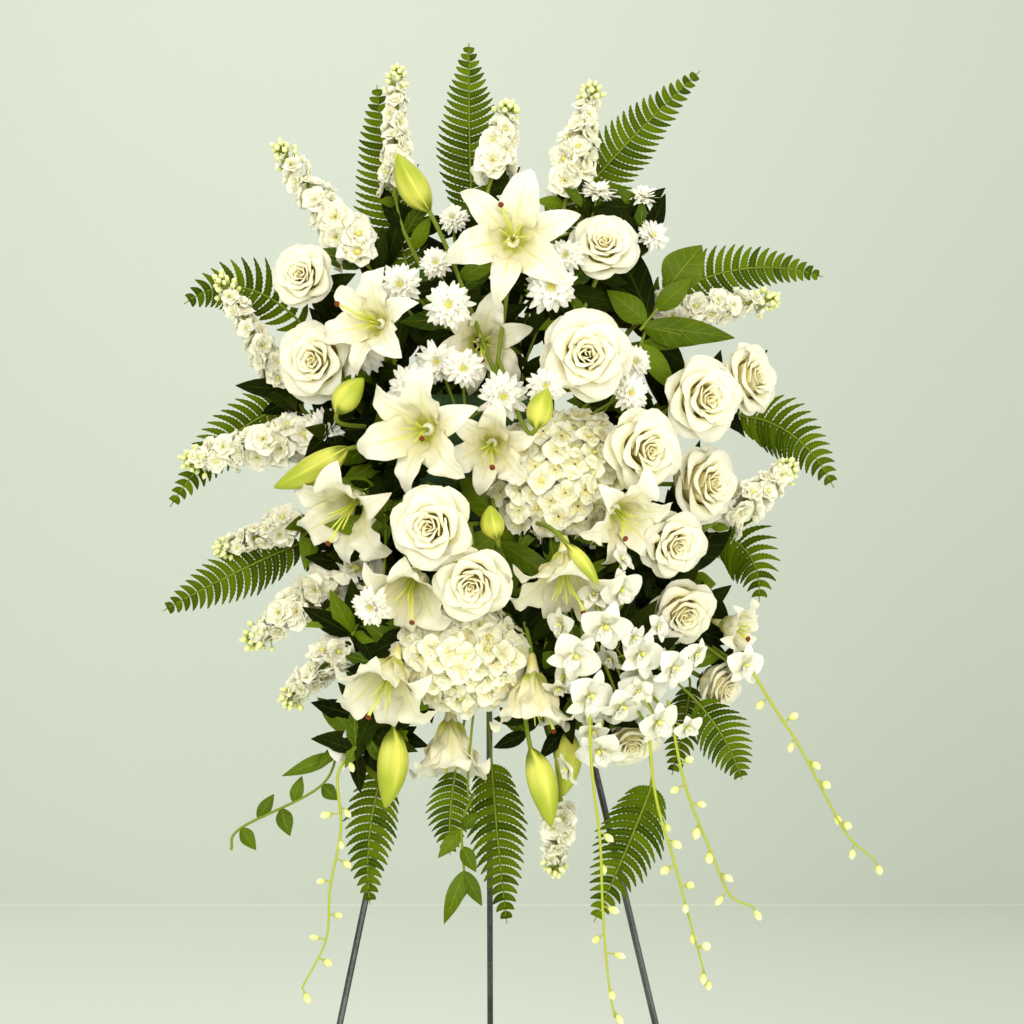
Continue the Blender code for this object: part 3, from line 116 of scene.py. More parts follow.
# A petal or leaf: the spine at u, plus v half widths across, plus a rise off it in half widths: cup times v squared,
# a ruffle that waves along u and grows as |v|^1.5, less a groove e^(-40 v^2), plus a fold sin(pi u) cos(8 v).
def blade(spine, halfWidth, across, mat, cup=0.0, ruffle=0.0, waves=3.0, phase=0.0, cols=7, thick=thin,
          vary=0.0, groove=0.0, twist=0.0, fold=0.0):
    rows = len(spine)
    u = np.linspace(0, 1, rows)[:, None, None]
    v = np.linspace(-1, 1, cols)[None, :, None]
    tangent = unit(np.gradient(spine, axis=0))
    side = unit(across - np.sum(across * tangent, 1, keepdims=True) * tangent)
    normal = np.cross(tangent, side)
    turn = (twist * np.linspace(0, 1, rows))[:, None]
    side, normal = side * np.cos(turn) + normal * np.sin(turn), normal * np.cos(turn) - side * np.sin(turn)
    w = np.asarray(halfWidth)[:, None, None]
    wave = np.sin(2 * np.pi * waves * u + phase + 2.0 * np.sign(v)) * np.abs(v) ** 1.5
    rise = cup * v ** 2 + ruffle * wave - groove * np.exp(-40 * v ** 2) + fold * np.sin(np.pi * u) * np.cos(8 * v)
    return closedSheet(spine[:, None] + v * w * side[:, None] + w * rise * normal[:, None], thick, vary, mat)


# A ring of a radius at each point of a path, its frame carried along the path, both ends drawn in to a point.
def tube(path, radii, sides, mat, vary=0.0):
    path = np.asarray(path, float)
    rows = len(path)
    radii = np.broadcast_to(radii, rows)
    tangent = unit(np.gradient(path, axis=0))
    ups = [frameOf(tangent[0], (0.31, 0.17, 0.93))[1]]
    for t in tangent[1:]:
        ups.append(unit(ups[-1] - np.dot(ups[-1], t) * t))
    ups = np.array(ups)
    outs = np.cross(ups, tangent)
    a = np.arange(sides) * math.tau / sides
    spokes = np.cos(a)[None, :, None] * outs[:, None] + np.sin(a)[None, :, None] * ups[:, None]
    rings = path[:, None] + radii[:, None, None] * spokes
    points = np.vstack([rings.reshape(-1, 3), path[:1], path[-1:]])
    g = np.arange(rows * sides).reshape(rows, sides)
    h = np.roll(g, -1, axis=1)
    quads = np.stack([g[:-1], h[:-1], h[1:], g[1:]], -1).reshape(-1, 4)
    first = np.stack([np.full(sides, rows * sides), h[0], g[0]], -1)
    last = np.stack([np.full(sides, rows * sides + 1), g[-1], h[-1]], -1)
    u = np.repeat(np.linspace(0, 1, rows), sides)
    coords = np.stack([np.concatenate([u, [0, 1]]), np.zeros(len(points)), np.full(len(points), vary)], -1)
    return points, [quads, np.vstack([first, last])], coords, mat


# A bud: a tube whose radius is that of its widest place times sin(pi u^k)^0.8, with k set by where that place is.
def ovoid(base, tip, radius, mat, sides, rows, fullest, vary=0.0, bend=None):
    u = np.linspace(0.015, 0.985, rows)
    path = base + u[:, None] * (tip - base)
    if bend is not None:
        path = path + np.sin(np.pi * u)[:, None] * bend
    k = math.log(0.5) / math.log(fullest)
    return tube(path, radius * np.sin(np.pi * u ** k) ** 0.8, sides, mat, vary)


# The cubic from a to d that b and c pull.
def bezier(a, b, c, d, rows):
    t = np.linspace(0, 1, rows)[:, None]
    return (1 - t) ** 3 * a + 3 * (1 - t) ** 2 * t * b + 3 * (1 - t) * t ** 2 * c + t ** 3 * d


# A smooth cubic through all the points (Catmull-Rom), with some rows to each span.
def smooth(points, per):
    p = np.vstack([2 * points[0] - points[1], points, 2 * points[-1] - points[-2]])
    t = np.linspace(0, 1, per, endpoint=False)[:, None]
    out = []
    for i in range(len(points) - 1):
        a, b, c, d = p[i:i + 4]
        out.append(0.5 * (2 * b + (c - a) * t + (2 * a - 5 * b + 4 * c - d) * t ** 2
                          + (3 * b - a - 3 * c + d) * t ** 3))
    return np.vstack(out + [points[-1:]])


# One object from its chunks, with petalCoord at each point.
def makePiece(name, chunks, node, body="stand"):
    used = [m for m in palette if any(chunk[3] == m for chunk in chunks)]
    points, coords, corners, starts, mats = [], [], [], [], []
    offset, loops = 0, 0
    for p, faces, c, m in chunks:
        points.append(p)
        coords.append(c)
        for f in faces:
            corners.append((f + offset).reshape(-1))
            starts.append(loops + np.arange(len(f)) * f.shape[1])
            mats.append(np.full(len(f), used.index(m)))
            loops += f.size
        offset += len(p)
    points, coords = np.vstack(points), np.vstack(coords)
    corners, starts, mats = np.concatenate(corners), np.concatenate(starts), np.concatenate(mats)
    mesh = bpy.data.meshes.new(name)
    mesh.vertices.add(len(points))
    mesh.vertices.foreach_set("co", points.astype(np.float32).reshape(-1))
    mesh.loops.add(len(corners))
    mesh.loops.foreach_set("vertex_index", corners.astype(np.int32))
    mesh.polygons.add(len(starts))
    mesh.polygons.foreach_set("loop_start", starts.astype(np.int32))
    mesh.polygons.foreach_set("material_index", mats.astype(np.int32))
    mesh.update(calc_edges=True)
    mesh.polygons.foreach_set("use_smooth", np.ones(len(starts), bool))
    mesh.set_sharp_from_angle(angle=math.radians(75))  # a sheet's rim is sharp, so its two sides shade apart
    data = mesh.attributes.new("petalCoord", "FLOAT_VECTOR", "POINT")
    data.data.foreach_set("vector", coords.astype(np.float32).reshape(-1))
    for m in used:
        mesh.materials.append(palette[m])
    obj = bpy.data.objects.new(name, mesh)
    scene.collection.objects.link(obj)
    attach(obj, body)
    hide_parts(node)
    return obj


# The camera is level, where the drawing is seen from.
sensorWidth, pictureSide = 36.0, 1024.0
cameraData = bpy.data.cameras.new("camera")
cameraData.sensor_width = sensorWidth
cameraData.lens = sensorWidth * (planDistance / planUnit) / pictureSide
camera = bpy.data.objects.new("camera", cameraData)
camera.location = (0.0, planBack - planDistance, planHeight)
camera.rotation_euler = (math.radians(90), 0, 0)
scene.collection.objects.link(camera)
scene.camera = camera
print("stage: camera")


# Materials. Small helpers first: each adds one node to a tree and returns what comes out of it.
def nodeMaterial(name):
    m = bpy.data.materials.new(name)
    m.use_nodes = True
    return m, m.node_tree, m.node_tree.nodes["Principled BSDF"]


def setInputs(node, values):
    for key, value in values.items():
        node.inputs[key].default_value = value


def addNode(tree, kind, values):
    n = tree.nodes.new(kind)
    setInputs(n, values)
    return n


def mathNode(tree, operation, a, b=None, clamp=False):
    n = tree.nodes.new("ShaderNodeMath")
    n.operation = operation
    n.use_clamp = clamp
    for i, value in enumerate((a, b)):
        if value is None:
            continue
        if isinstance(value, (int, float)):
            n.inputs[i].default_value = value
        else:
            tree.links.new(value, n.inputs[i])
    return n.outputs[0]


def plus(tree, a, b, clamp=False):
    return mathNode(tree, "ADD", a, b, clamp)


def minus(tree, a, b):
    return mathNode(tree, "SUBTRACT", a, b)


def times(tree, a, b):
    return mathNode(tree, "MULTIPLY", a, b)


def mixColour(tree, fac, a, b):
    n = tree.nodes.new("ShaderNodeMix")
    n.data_type = "RGBA"
    for socket, value in ((n.inputs[0], fac), (n.inputs[6], a), (n.inputs[7], b)):
        if isinstance(value, (tuple, float, int)):
            socket.default_value = (*value, 1.0) if isinstance(value, tuple) else value
        else:
            tree.links.new(value, socket)
    return n.outputs[2]


def shaded(tree, colour, share):
    n = tree.nodes.new("ShaderNodeVectorMath")
    n.operation = "SCALE"
    tree.links.new(colour, n.inputs[0])
    n.inputs["Scale"].default_value = share
    return n.outputs[0]


# From 0 at low to 1 at high, eased at both ends.
def ramp(tree, value, low, high):
    n = addNode(tree, "ShaderNodeMapRange", {"From Min": low, "From Max": high})
    n.interpolation_type = "SMOOTHSTEP"
    tree.links.new(value, n.inputs["Value"])
    return n.outputs[0]


def objectNoise(tree, **values):
    place = tree.nodes.new("ShaderNodeTexCoord")
    noise = addNode(tree, "ShaderNodeTexNoise", values)
    tree.links.new(place.outputs["Object"], noise.inputs["Vector"])
    return noise


def dented(tree, shader, height, strength, distance):
    dent = addNode(tree, "ShaderNodeBump", {"Strength": strength, "Distance": distance})
    tree.links.new(height, dent.inputs["Height"])
    tree.links.new(dent.outputs[0], shader.inputs["Normal"])


def petalCoordOf(tree):
    coord = tree.nodes.new("ShaderNodeAttribute")
    coord.attribute_name = "petalCoord"
    split = tree.nodes.new("ShaderNodeSeparateXYZ")
    tree.links.new(coord.outputs["Vector"], split.inputs[0])
    return coord.outputs["Vector"], split.outputs


# sRGB bytes to linear light: ((c + 0.055) / 1.055)^2.4, and a straight line for the darkest.
def linear(*colour):
    return tuple(((c / 255 + 0.055) / 1.055) ** 2.4 if c > 10 else c / 255 / 12.92 for c in colour)


# Fine lengthwise veins, |sin|^3 of the way across that fans out along the petal, and soft crinkles of noise.
def veinGroup():
    g = bpy.data.node_groups.new("petalVeins", "ShaderNodeTree")
    for name, kind, value in (("Coord", "NodeSocketVector", None), ("Veins", "NodeSocketFloat", 26.0),
                              ("Fan", "NodeSocketFloat", 0.6), ("Crinkle", "NodeSocketFloat", 0.4),
                              ("Crinkle Scale", "NodeSocketFloat", 120.0)):
        s = g.interface.new_socket(name=name, in_out="INPUT", socket_type=kind)
        if value is not None:
            s.default_value = value
    for name in ("Vein", "Height"):
        g.interface.new_socket(name=name, in_out="OUTPUT", socket_type="NodeSocketFloat")
    i, o = g.nodes.new("NodeGroupInput"), g.nodes.new("NodeGroupOutput")
    split = g.nodes.new("ShaderNodeSeparateXYZ")
    g.links.new(i.outputs["Coord"], split.inputs[0])
    spread = times(g, split.outputs[1], minus(g, 1.0, times(g, i.outputs["Fan"], split.outputs[0])))
    wave = mathNode(g, "SINE", times(g, spread, i.outputs["Veins"]))
    vein = mathNode(g, "POWER", mathNode(g, "ABSOLUTE", wave), 3.0)
    noise = objectNoise(g, Detail=3.0, Roughness=0.55)
    g.links.new(i.outputs["Crinkle Scale"], noise.inputs["Scale"])
    height = plus(g, times(g, vein, 0.35), times(g, noise.outputs[0], i.outputs["Crinkle"]))
    g.links.new(vein, o.inputs["Vein"])
    g.links.new(height, o.inputs["Height"])
    return g


veinTree = veinGroup()


# Colour from foot to lip along the petal, its borders blurred by noise; a rib that fades towards the lip; the veins
# a little darker, and raised with the crinkles.
def petalMaterial(name, lip, middle, foot, stops, rib=None, ribWidth=0.10, veins=24.0, rough=0.5, glow=0.15,
                  bump=0.25, crinkle=0.5, crinkleScale=130.0, byVaryAndShade=0.0):
    m, tree, shader = nodeMaterial(name)
    lip = linear(*lip)
    coord, (u, v, vary) = petalCoordOf(tree)
    group = tree.nodes.new("ShaderNodeGroup")
    group.node_tree = veinTree
    setInputs(group, {"Veins": veins, "Crinkle": crinkle, "Crinkle Scale": crinkleScale})
    tree.links.new(coord, group.inputs["Coord"])
    mottle = objectNoise(tree, Scale=38.0, Detail=2.0).outputs[0]
    along = plus(tree, u, times(tree, minus(tree, mottle, 0.5), 0.22))
    # For the rose, vary also holds painted shade: its inner rounds lean towards the yellow foot.
    if byVaryAndShade:
        along = plus(tree, along, times(tree, vary, byVaryAndShade))
    colour = mixColour(tree, ramp(tree, along, stops[0] * 0.2, stops[0]), linear(*foot), linear(*middle))
    colour = mixColour(tree, ramp(tree, along, *stops), colour, lip)
    if rib:
        band = times(tree, ramp(tree, mathNode(tree, "ABSOLUTE", v), ribWidth, 0.0), ramp(tree, u, 1.0, 0.35))
        colour = mixColour(tree, band, colour, linear(*rib))
    colour = mixColour(tree, times(tree, group.outputs["Vein"], 0.10), colour, tuple(0.82 * c for c in lip))
    tree.links.new(colour, shader.inputs["Base Color"])
    setInputs(shader, {"Roughness": rough, "Specular IOR Level": 0.25, "Subsurface Weight": glow,
                       "Subsurface Radius": (1.0, 0.93, 0.72), "Subsurface Scale": 0.012})
    dented(tree, shader, group.outputs["Height"], bump, 0.0012)
    return m


# Green mottled between dark and light by noise and from leaf to leaf, a pale rib, and side veins where the sine of
# the way along, less a slant across, is near its top.
def leafMaterial(name, dark, light, rib, rough=0.4, veins=9.0, ribWidth=0.08, spread=0.5, gloss=0.08):
    m, tree, shader = nodeMaterial(name)
    _, (u, v, vary) = petalCoordOf(tree)
    mottle = objectNoise(tree, Scale=30.0, Detail=4.0, Roughness=0.6).outputs[0]
    fac = plus(tree, times(tree, mottle, spread), times(tree, vary, 0.6), clamp=True)
    colour = mixColour(tree, fac, linear(*dark), linear(*light))
    across = mathNode(tree, "ABSOLUTE", v)
    slant = minus(tree, u, times(tree, across, 0.22))
    wave = mathNode(tree, "SINE", times(tree, slant, veins * 6.2832))
    sideVeins = times(tree, ramp(tree, wave, 0.86, 1.0), 0.35)
    line = mathNode(tree, "MAXIMUM", ramp(tree, across, ribWidth, 0.0), sideVeins)
    tree.links.new(mixColour(tree, times(tree, line, 0.55), colour, linear(*rib)), shader.inputs["Base Color"])
    setInputs(shader, {"Roughness": rough, "Specular IOR Level": gloss, "Subsurface Weight": 0.06,
                       "Subsurface Scale": 0.002})
    dented(tree, shader, minus(tree, times(tree, mottle, 0.3), line), 0.5, 0.0010)
    return m


# Colours in sRGB bytes; stops are where the middle colour is full and where the lip's is.
petalLooks = {
    # The rose's yellow foot and middle are partly its own cream-yellow heart and partly painted shade in the creases
    # between its petals.
    "rosePetal": dict(lip=(254, 250, 218), middle=(253, 243, 178), foot=(248, 224, 118), stops=(0.54, 0.90),
                      veins=22.0, rough=0.55, bump=0.08, crinkle=0.30, byVaryAndShade=0.26, glow=0.6),
    "lilyPetal": dict(lip=(240, 234, 204), middle=(226, 219, 166), foot=(184, 188, 54), stops=(0.24, 0.66),
                      rib=(226, 215, 132), ribWidth=0.13, veins=12.0, rough=0.45, bump=0.30, crinkle=0.7,
                      crinkleScale=180.0, glow=0.4),
    "hydrangeaPetal": dict(lip=(255, 253, 226), middle=(254, 249, 200), foot=(244, 232, 140), stops=(0.25, 0.66),
                           rib=(246, 242, 208), veins=14.0, rough=0.6, bump=0.2, glow=0.45),
    "stockPetal": dict(lip=(255, 252, 224), middle=(253, 248, 200), foot=(220, 212, 106), stops=(0.22, 0.5),
                       veins=10.0, rough=0.62, bump=0.16, crinkle=0.8, crinkleScale=260.0, glow=0.5),
    "mumPetal": dict(lip=(254, 252, 236), middle=(251, 247, 214), foot=(218, 212, 104), stops=(0.2, 0.5),
                     rib=(242, 240, 212), veins=8.0, rough=0.55, bump=0.2, glow=0.5),
    "orchidPetal": dict(lip=(250, 248, 228), middle=(246, 243, 208), foot=(212, 214, 116), stops=(0.22, 0.6),
                        rib=(246, 245, 222), veins=12.0, rough=0.4, bump=0.16, glow=0.5),
    "flowerEye": dict(lip=(212, 208, 100), middle=(198, 198, 76), foot=(150, 158, 40), stops=(0.3, 0.8),
                      rough=0.7, bump=0.5, crinkle=1.0, crinkleScale=500.0),
    "pistil": dict(lip=(208, 212, 92), middle=(190, 196, 62), foot=(146, 162, 40), stops=(0.3, 0.8),
                   rough=0.4, bump=0.1),
    "stigma": dict(lip=(112, 44, 22), middle=(96, 34, 18), foot=(80, 28, 16), stops=(0.3, 0.8),
                   rough=0.6, bump=0.6, crinkle=1.0, crinkleScale=700.0),
    "paleBud": dict(lip=(226, 226, 172), middle=(206, 210, 126), foot=(140, 158, 62), stops=(0.35, 0.9),
                    veins=6.0, rough=0.42, bump=0.15),
    "lilyBud": dict(lip=(154, 166, 44), middle=(190, 192, 80), foot=(98, 114, 16), stops=(0.25, 0.7),
                    rib=(206, 203, 84), ribWidth=0.75, veins=9.0, rough=0.42, bump=0.3),
}
leafLooks = {
    "greenStem": dict(dark=(66, 84, 8), light=(118, 134, 32), rib=(132, 146, 50), rough=0.5),
    "limeStem": dict(dark=(122, 136, 18), light=(170, 180, 52), rib=(180, 188, 70), rough=0.5),
    "fernLeaf": dict(dark=(38, 60, 0), light=(122, 150, 14), rib=(140, 156, 40), rough=0.65, veins=14.0,
                     spread=0.35, gloss=0.03),
    "ruscusLeaf": dict(dark=(52, 74, 2), light=(114, 136, 16), rib=(138, 152, 44), rough=0.45, veins=5.0),
    "broadLeaf": dict(dark=(54, 74, 2), light=(116, 136, 16), rib=(134, 150, 42), rough=0.42, veins=6.0,
                      ribWidth=0.05),
    # The next green is near black: painted shade for the leaves deep in the spray, behind and between the blooms.
    "paintedShadeLeaf": dict(dark=(12, 20, 0), light=(44, 56, 4), rib=(62, 76, 14), rough=0.6, veins=6.0, gloss=0.03),
}
palette = {name: petalMaterial(name, **look) for name, look in petalLooks.items()}
palette.update({name: leafMaterial(name, **look) for name, look in leafLooks.items()})
print("stage: materials", len(palette))


# Blooms. Each table says what stands where, as in the CAD: places are (across, down) on the drawing and centimetres
# forward, sizes are centimetres, turns are degrees to the right and up. Each function returns chunks.

# Roses: place, radius, turns, how far open.
roses = {
    "roses_left": [(302, 275, 10, 3.2, -15, 5, 0.3), (315, 361, 13.4, 4.1, -20, 0, 0.6)],
    "roses_upper_right": [(604, 245, 13, 3.5, 0, 22, 0.4), (587, 355, 19, 4.4, 3, 0, 0.7)],
    "roses_right_upper": [(704, 399, 14, 4.2, 28, 0, 0.4), (752, 379, 8.5, 3.7, 48, 8, 0.3)],
    "roses_right_middle": [(647, 450, 19, 4.0, 26, -4, 1.0), (708, 484, 13, 3.9, 42, 0, 0.6)],
    "roses_right_lower": [(675, 545, 17, 3.4, 22, -12, 0.8), (683, 614, 14, 3.5, 18, -24, 0.6)],
    "roses_bottom_right": [(723, 688, 9, 2.9, 50, -20, 0.2), (632, 742, 13, 3.2, 10, -42, 0.5)],
    "roses_centre": [(431, 527, 25, 4.0, -14, 0, 0.7), (472, 584, 25, 3.7, -4, -18, 0.5)],
}
roseForm = {
    # petals; reach and height of the crest, in radii; how much opening lowers it; radius and angle of the roll
    "rounds": ((2, 0.06, 1.360, 0.0, 0.05, 0.9), (3, 0.14, 1.385, 0.0, 0.08, 1.1), (3, 0.24, 1.385, 0.0, 0.12, 1.2),
               (4, 0.35, 1.350, 0.0, 0.17, 1.35), (4, 0.47, 1.275, 0.0, 0.23, 1.5), (4, 0.57, 1.165, 0.5, 0.29, 1.6),
               (5, 0.67, 1.03, 1.0, 0.31, 1.7)),
    "innerRounds": 3,  # these have fewer faces and no point on their lips
    "innerGrid": (11, 7), "outerGrid": (14, 11),
    "crestAt": 0.55,  # where along a petal it starts to roll
    "flatten": 0.24, "lipPoint": 0.10, "lipFall": 0.15, "mostReach": 1.08,
}


# Rounds of petals. A petal climbs to its crest, then rolls out over an arc: its reach grows by the radius of the roll
# times (1 - cos), its height by the radius times sin. One side lies outside its neighbour and the other inside. The
# lip of an outer petal comes to a soft point in its middle, e^(-(v / 0.34)^2), and falls back at its sides.
def roseChunks(place, r, axis, opened, draw):
    side, up = frameOf(axis)
    base = place - r * axis
    start = draw.uniform(0, math.tau)
    flat = roseForm["flatten"] * opened
    crestAt = roseForm["crestAt"]
    rounds, inner = roseForm["rounds"], roseForm["innerRounds"]
    chunks = []
    for j, (count, crest, top, lowered, bend, angle) in enumerate(rounds):
        rows, cols = roseForm["innerGrid"] if j < inner else roseForm["outerGrid"]
        u = np.linspace(0, 1, rows)[:, None]
        v = np.linspace(-1, 1, cols)[None, :]
        climb = np.clip(u / crestAt, 0, 1)
        roll = np.clip((u - crestAt) / (1 - crestAt), 0, 1)
        outer = 0.0 if j < inner else (j - inner + 1) / (len(rounds) - inner)
        top = top - lowered * flat
        for k in range(count):
            crestHere = crest * draw.uniform(0.95, 1.05)
            bendHere = bend * draw.uniform(0.9, 1.12)
            angleHere = angle * draw.uniform(0.9, 1.08)
            turn = start + k * math.tau / count + 0.85 * j + draw.uniform(-0.16, 0.16)
            wide = math.pi / count * draw.uniform(1.30, 1.5)
            b = (roll + 0.20 * roll ** 6) * angleHere * (1 - 0.25 * v ** 2)
            taper = 0.62 + 0.38 * np.sin(math.pi / 2 * np.minimum(1, 1.5 * u))
            taper = taper * np.sqrt(np.clip(1 - (0.62 * roll) ** 2.4 * 0.55, 0, 1))
            wave = (0.014 * np.sin(3.3 * v + 5 * k + j) + 0.008 * np.sin(7.0 * v + 3 * k)) * (0.4 + roll)
            lean = 0.045 * v * (1 if j % 2 else -1) + 0.02 * np.cos(2 * math.pi * v)
            point = roseForm["lipPoint"] * np.exp(-(v / 0.34) ** 2) - roseForm["lipFall"] * v ** 2
            point = roll ** 2 * outer * point
            reach = 0.05 + (crestHere - 0.05) * np.sin(math.pi / 2 * climb) ** 0.7
            reach = reach + bendHere * (1 - np.cos(b)) + lean * climb + wave + point
            height = 0.10 + (top - bendHere - 0.10) * climb + bendHere * np.sin(b)
            height = height - 0.09 * np.abs(v) ** 2.6 * climb + wave - 0.5 * point
            reach = np.minimum(reach, roseForm["mostReach"])
            spin = turn + v * wide * taper
            out = np.cos(spin)[..., None] * side + np.sin(spin)[..., None] * up
            sheet = base + (height * r)[..., None] * axis + (reach * r)[..., None] * out
            # Inner rounds lean towards the yellow foot: partly the rose's yellower heart, partly painted shade deep
            # in the bloom; the rest is random.
            vary = -0.75 * (1 - j / 6) + draw.uniform(-0.15, 0.2)
            chunks.append(closedSheet(sheet, thin, vary, "rosePetal"))
    return chunks


# Five narrow green sepals under a rose: each spine goes out in a line and rises as t^1.5.
def sepalChunks(place, r, axis):
    side, up = frameOf(axis)
    t = np.linspace(0, 1, 7)[:, None]
    chunks = []
    for k in range(5):
        out = around(side, up, k * math.tau / 5)
        spine = place - 0.92 * r * axis + (0.10 + 0.55 * t) * r * out + (0.25 * t ** 1.5) * r * axis
        width = 0.16 * r * swell(t[:, 0], 0.12, 0.86, 1, 0.8)
        chunks.append(blade(spine, width, np.cross(axis, out), "greenStem", cols=5, cup=-0.3))
    return chunks


# Lilies: place, length, turns, how far open. Buds: base and tip on the drawing, forward, radius.
lilies = {
    "lilies_top": [(513, 238, 17, 7.6, 0, 4, 1.0), (481, 343, 11, 6.2, 4, -6, 0.95)],
    "lily_left_upper": [(373, 322, 16, 6.3, -28, 4, 0.95)],
    "lily_left_middle": [(421, 430, 20, 7.6, -22, -4, 0.95)],
    "lily_centre": [(491, 446, 17, 6.0, -5, -14, 0.9)],
    "lilies_left_lower": [(350, 508, 16, 7.8, -34, -30, 0.85), (410, 586, 19, 7.0, -18, -42, 0.8)],
    "lilies_hanging_left": [(450, 742, 12.5, 8.0, -4, -76, 0.58), (388, 678, 19, 7.8, -24, -50, 0.8)],
    "lily_hanging_right": [(533, 694, 17, 7.8, 4, -76, 0.62)],
    "lilies_right": [(564, 574, 20, 8.0, -4, -60, 0.85), (622, 515, 19, 6.4, 30, -24, 0.9)],
    "lily_right_edge": [(733, 627, 10, 4.9, 58, -14, 0.8)],
}
lilyBuds = {
    "lilies_top": [(430, 212, 397, 153, 11, 1.6), (536, 430, 548, 388, 22, 1.3)],
    "lily_left_upper": [(336, 414, 364, 378, 18, 1.4)],
    "lily_left_middle": [(349, 447, 273, 488, 17, 1.5)],
    "lily_centre": [(497, 540, 490, 505, 23, 1.2)],
    "lilies_hanging_left": [(393, 727, 385, 809, 15, 1.6)],
    "lily_hanging_right": [(530, 747, 551, 828, 16, 1.5), (567, 728, 563, 797, 14, 1.4),
                           (614, 694, 625, 722, 15, 1.1)],
    "lilies_right": [(566, 543, 599, 586, 26, 0.7)],
}
lilyStyles = {(513, 238): (501, 205, 20.0), (373, 322): (338, 304, 18.5)}  # where two styles end
lilyForm = {
    # half width, lift, cup and ruffle of a tepal, in lengths: the narrow ones stand under the broad ones
    "tepals": ((0.20, -0.004, 0.10, 0.12), (0.265, 0.030, 0.16, 0.26)),
    "rows": 19, "cols": 13,
    "filament": 0.0009,
    "style": (0.0018, 0.0016, 0.0013, 0.0012, 0.0012, 0.0012, 0.0013, 0.0017, 0.0020),
    "neck": (0.030, 0.050, 0.062, 0.072, 0.085, 0.098, 0.080),  # radii behind the throat, in lengths
}


# A tepal's spine: the throat, plus a spread outwards that grows as a power of s, plus a rise along the axis that
# follows a sine and falls back as the square of what lies past 0.62. Six filaments and a style stand in the throat.
def lilyChunks(place, length, axis, opened, draw, styleTip=None):
    side, up = frameOf(axis)
    throat = place - 0.30 * length * axis
    s = np.linspace(0, 1, lilyForm["rows"])
    chunks = []
    for number in range(6):
        wide, lift, cup, ruffle = lilyForm["tepals"][number % 2]
        out = around(side, up, number * math.tau / 6 + 0.3)
        bendBack = draw.uniform(0.94, 1.05)
        spread = opened * length * (0.085 + 0.86 * s ** (1.25 - 0.9 * (1 - opened)))
        spread[0] = 0.05 * length
        height, bend = 0.55 + 0.40 * (1 - opened), (1.9 - 0.5 * (1 - opened)) * bendBack
        curl = draw.uniform(1.0, 2.4) * opened * np.clip(s - 0.62, 0, 1) ** 2
        rise = length * (height * np.sin(s * bend) + lift - curl)
        spine = throat + spread[:, None] * out + rise[:, None] * axis
        sway = 0.020 * length * (np.sin(4.5 * s + 7 * draw.random()) * s)
        spine = spine + sway[:, None] * np.cross(axis, out)
        width = length * wide * (swell(s, 0.07, 0.93, 0.92, 0.72) + 0.05 * (1 - s))
        width[-1] = 0.0004
        chunks.append(blade(spine, width, np.cross(axis, out), "lilyPetal", cup=cup, ruffle=ruffle,
                            waves=draw.uniform(2.6, 4.0), phase=draw.uniform(0, 6), cols=lilyForm["cols"],
                            groove=0.10, vary=draw.uniform(-0.1, 0.1), twist=draw.uniform(-0.45, 0.45), fold=0.05))
    lean = draw.uniform(math.pi, math.tau)
    filament = [lilyForm["filament"]] * 6 + [0.0005]
    for number in range(6):
        out = around(side, up, number * math.tau / 6 + 0.8)
        a = throat + 0.05 * length * axis + 0.02 * length * out
        d = throat + (0.62 + 0.08 * draw.random()) * length * axis + 0.17 * length * opened * out
        path = bezier(a, a + 0.25 * length * axis, d - 0.15 * length * (axis + 0.4 * out), d, 7)
        chunks.append(tube(path, filament, 5, "pistil", 0.1))
    end = styleTip
    if styleTip is None:
        end = throat + (0.70 + 0.1 * opened) * length * axis + 0.26 * length * around(side, up, lean)
    style = bezier(throat + 0.05 * length * axis, throat + 0.45 * length * axis, end - 0.10 * length * axis, end, 9)
    chunks.append(tube(style, lilyForm["style"], 7, "pistil", 0.3))
    tip = style[-1]
    chunks.append(ovoid(tip - 0.0012 * axis, tip + 0.0042 * axis, 0.0031, "stigma", 9, 7, 0.55))
    back = throat + np.outer(np.linspace(-0.24, 0.10, 7), axis) * length
    chunks.append(tube(back, np.array(lilyForm["neck"]) * length, 12, "lilyPetal", -0.2))
    return chunks


# A bud of three ribs: each ring of the ovoid is swelled by 1 + 0.07 cos 3a.
def lilyBudChunks(base, tip, radius, draw, sides=18, rows=15):
    bend = 0.03 * np.cross(tip - base, [0.0, 1.0, 0.0])
    vary = draw.uniform(-0.1, 0.15)
    points, faces, coords, mat = ovoid(base, tip, radius, "lilyBud", sides, rows, 0.44, vary, bend)
    count = sides * rows
    a = np.arange(sides) * math.tau / sides
    rings = points[:count].reshape(rows, sides, 3)
    centre = rings.mean(axis=1, keepdims=True)
    points[:count] = (centre + (rings - centre) * (1 + 0.07 * np.cos(3 * a)[None, :, None])).reshape(-1, 3)
    coords[:count, 1] = np.tile(np.cos(1.5 * a), rows)
    return [(points, faces, coords, mat)]


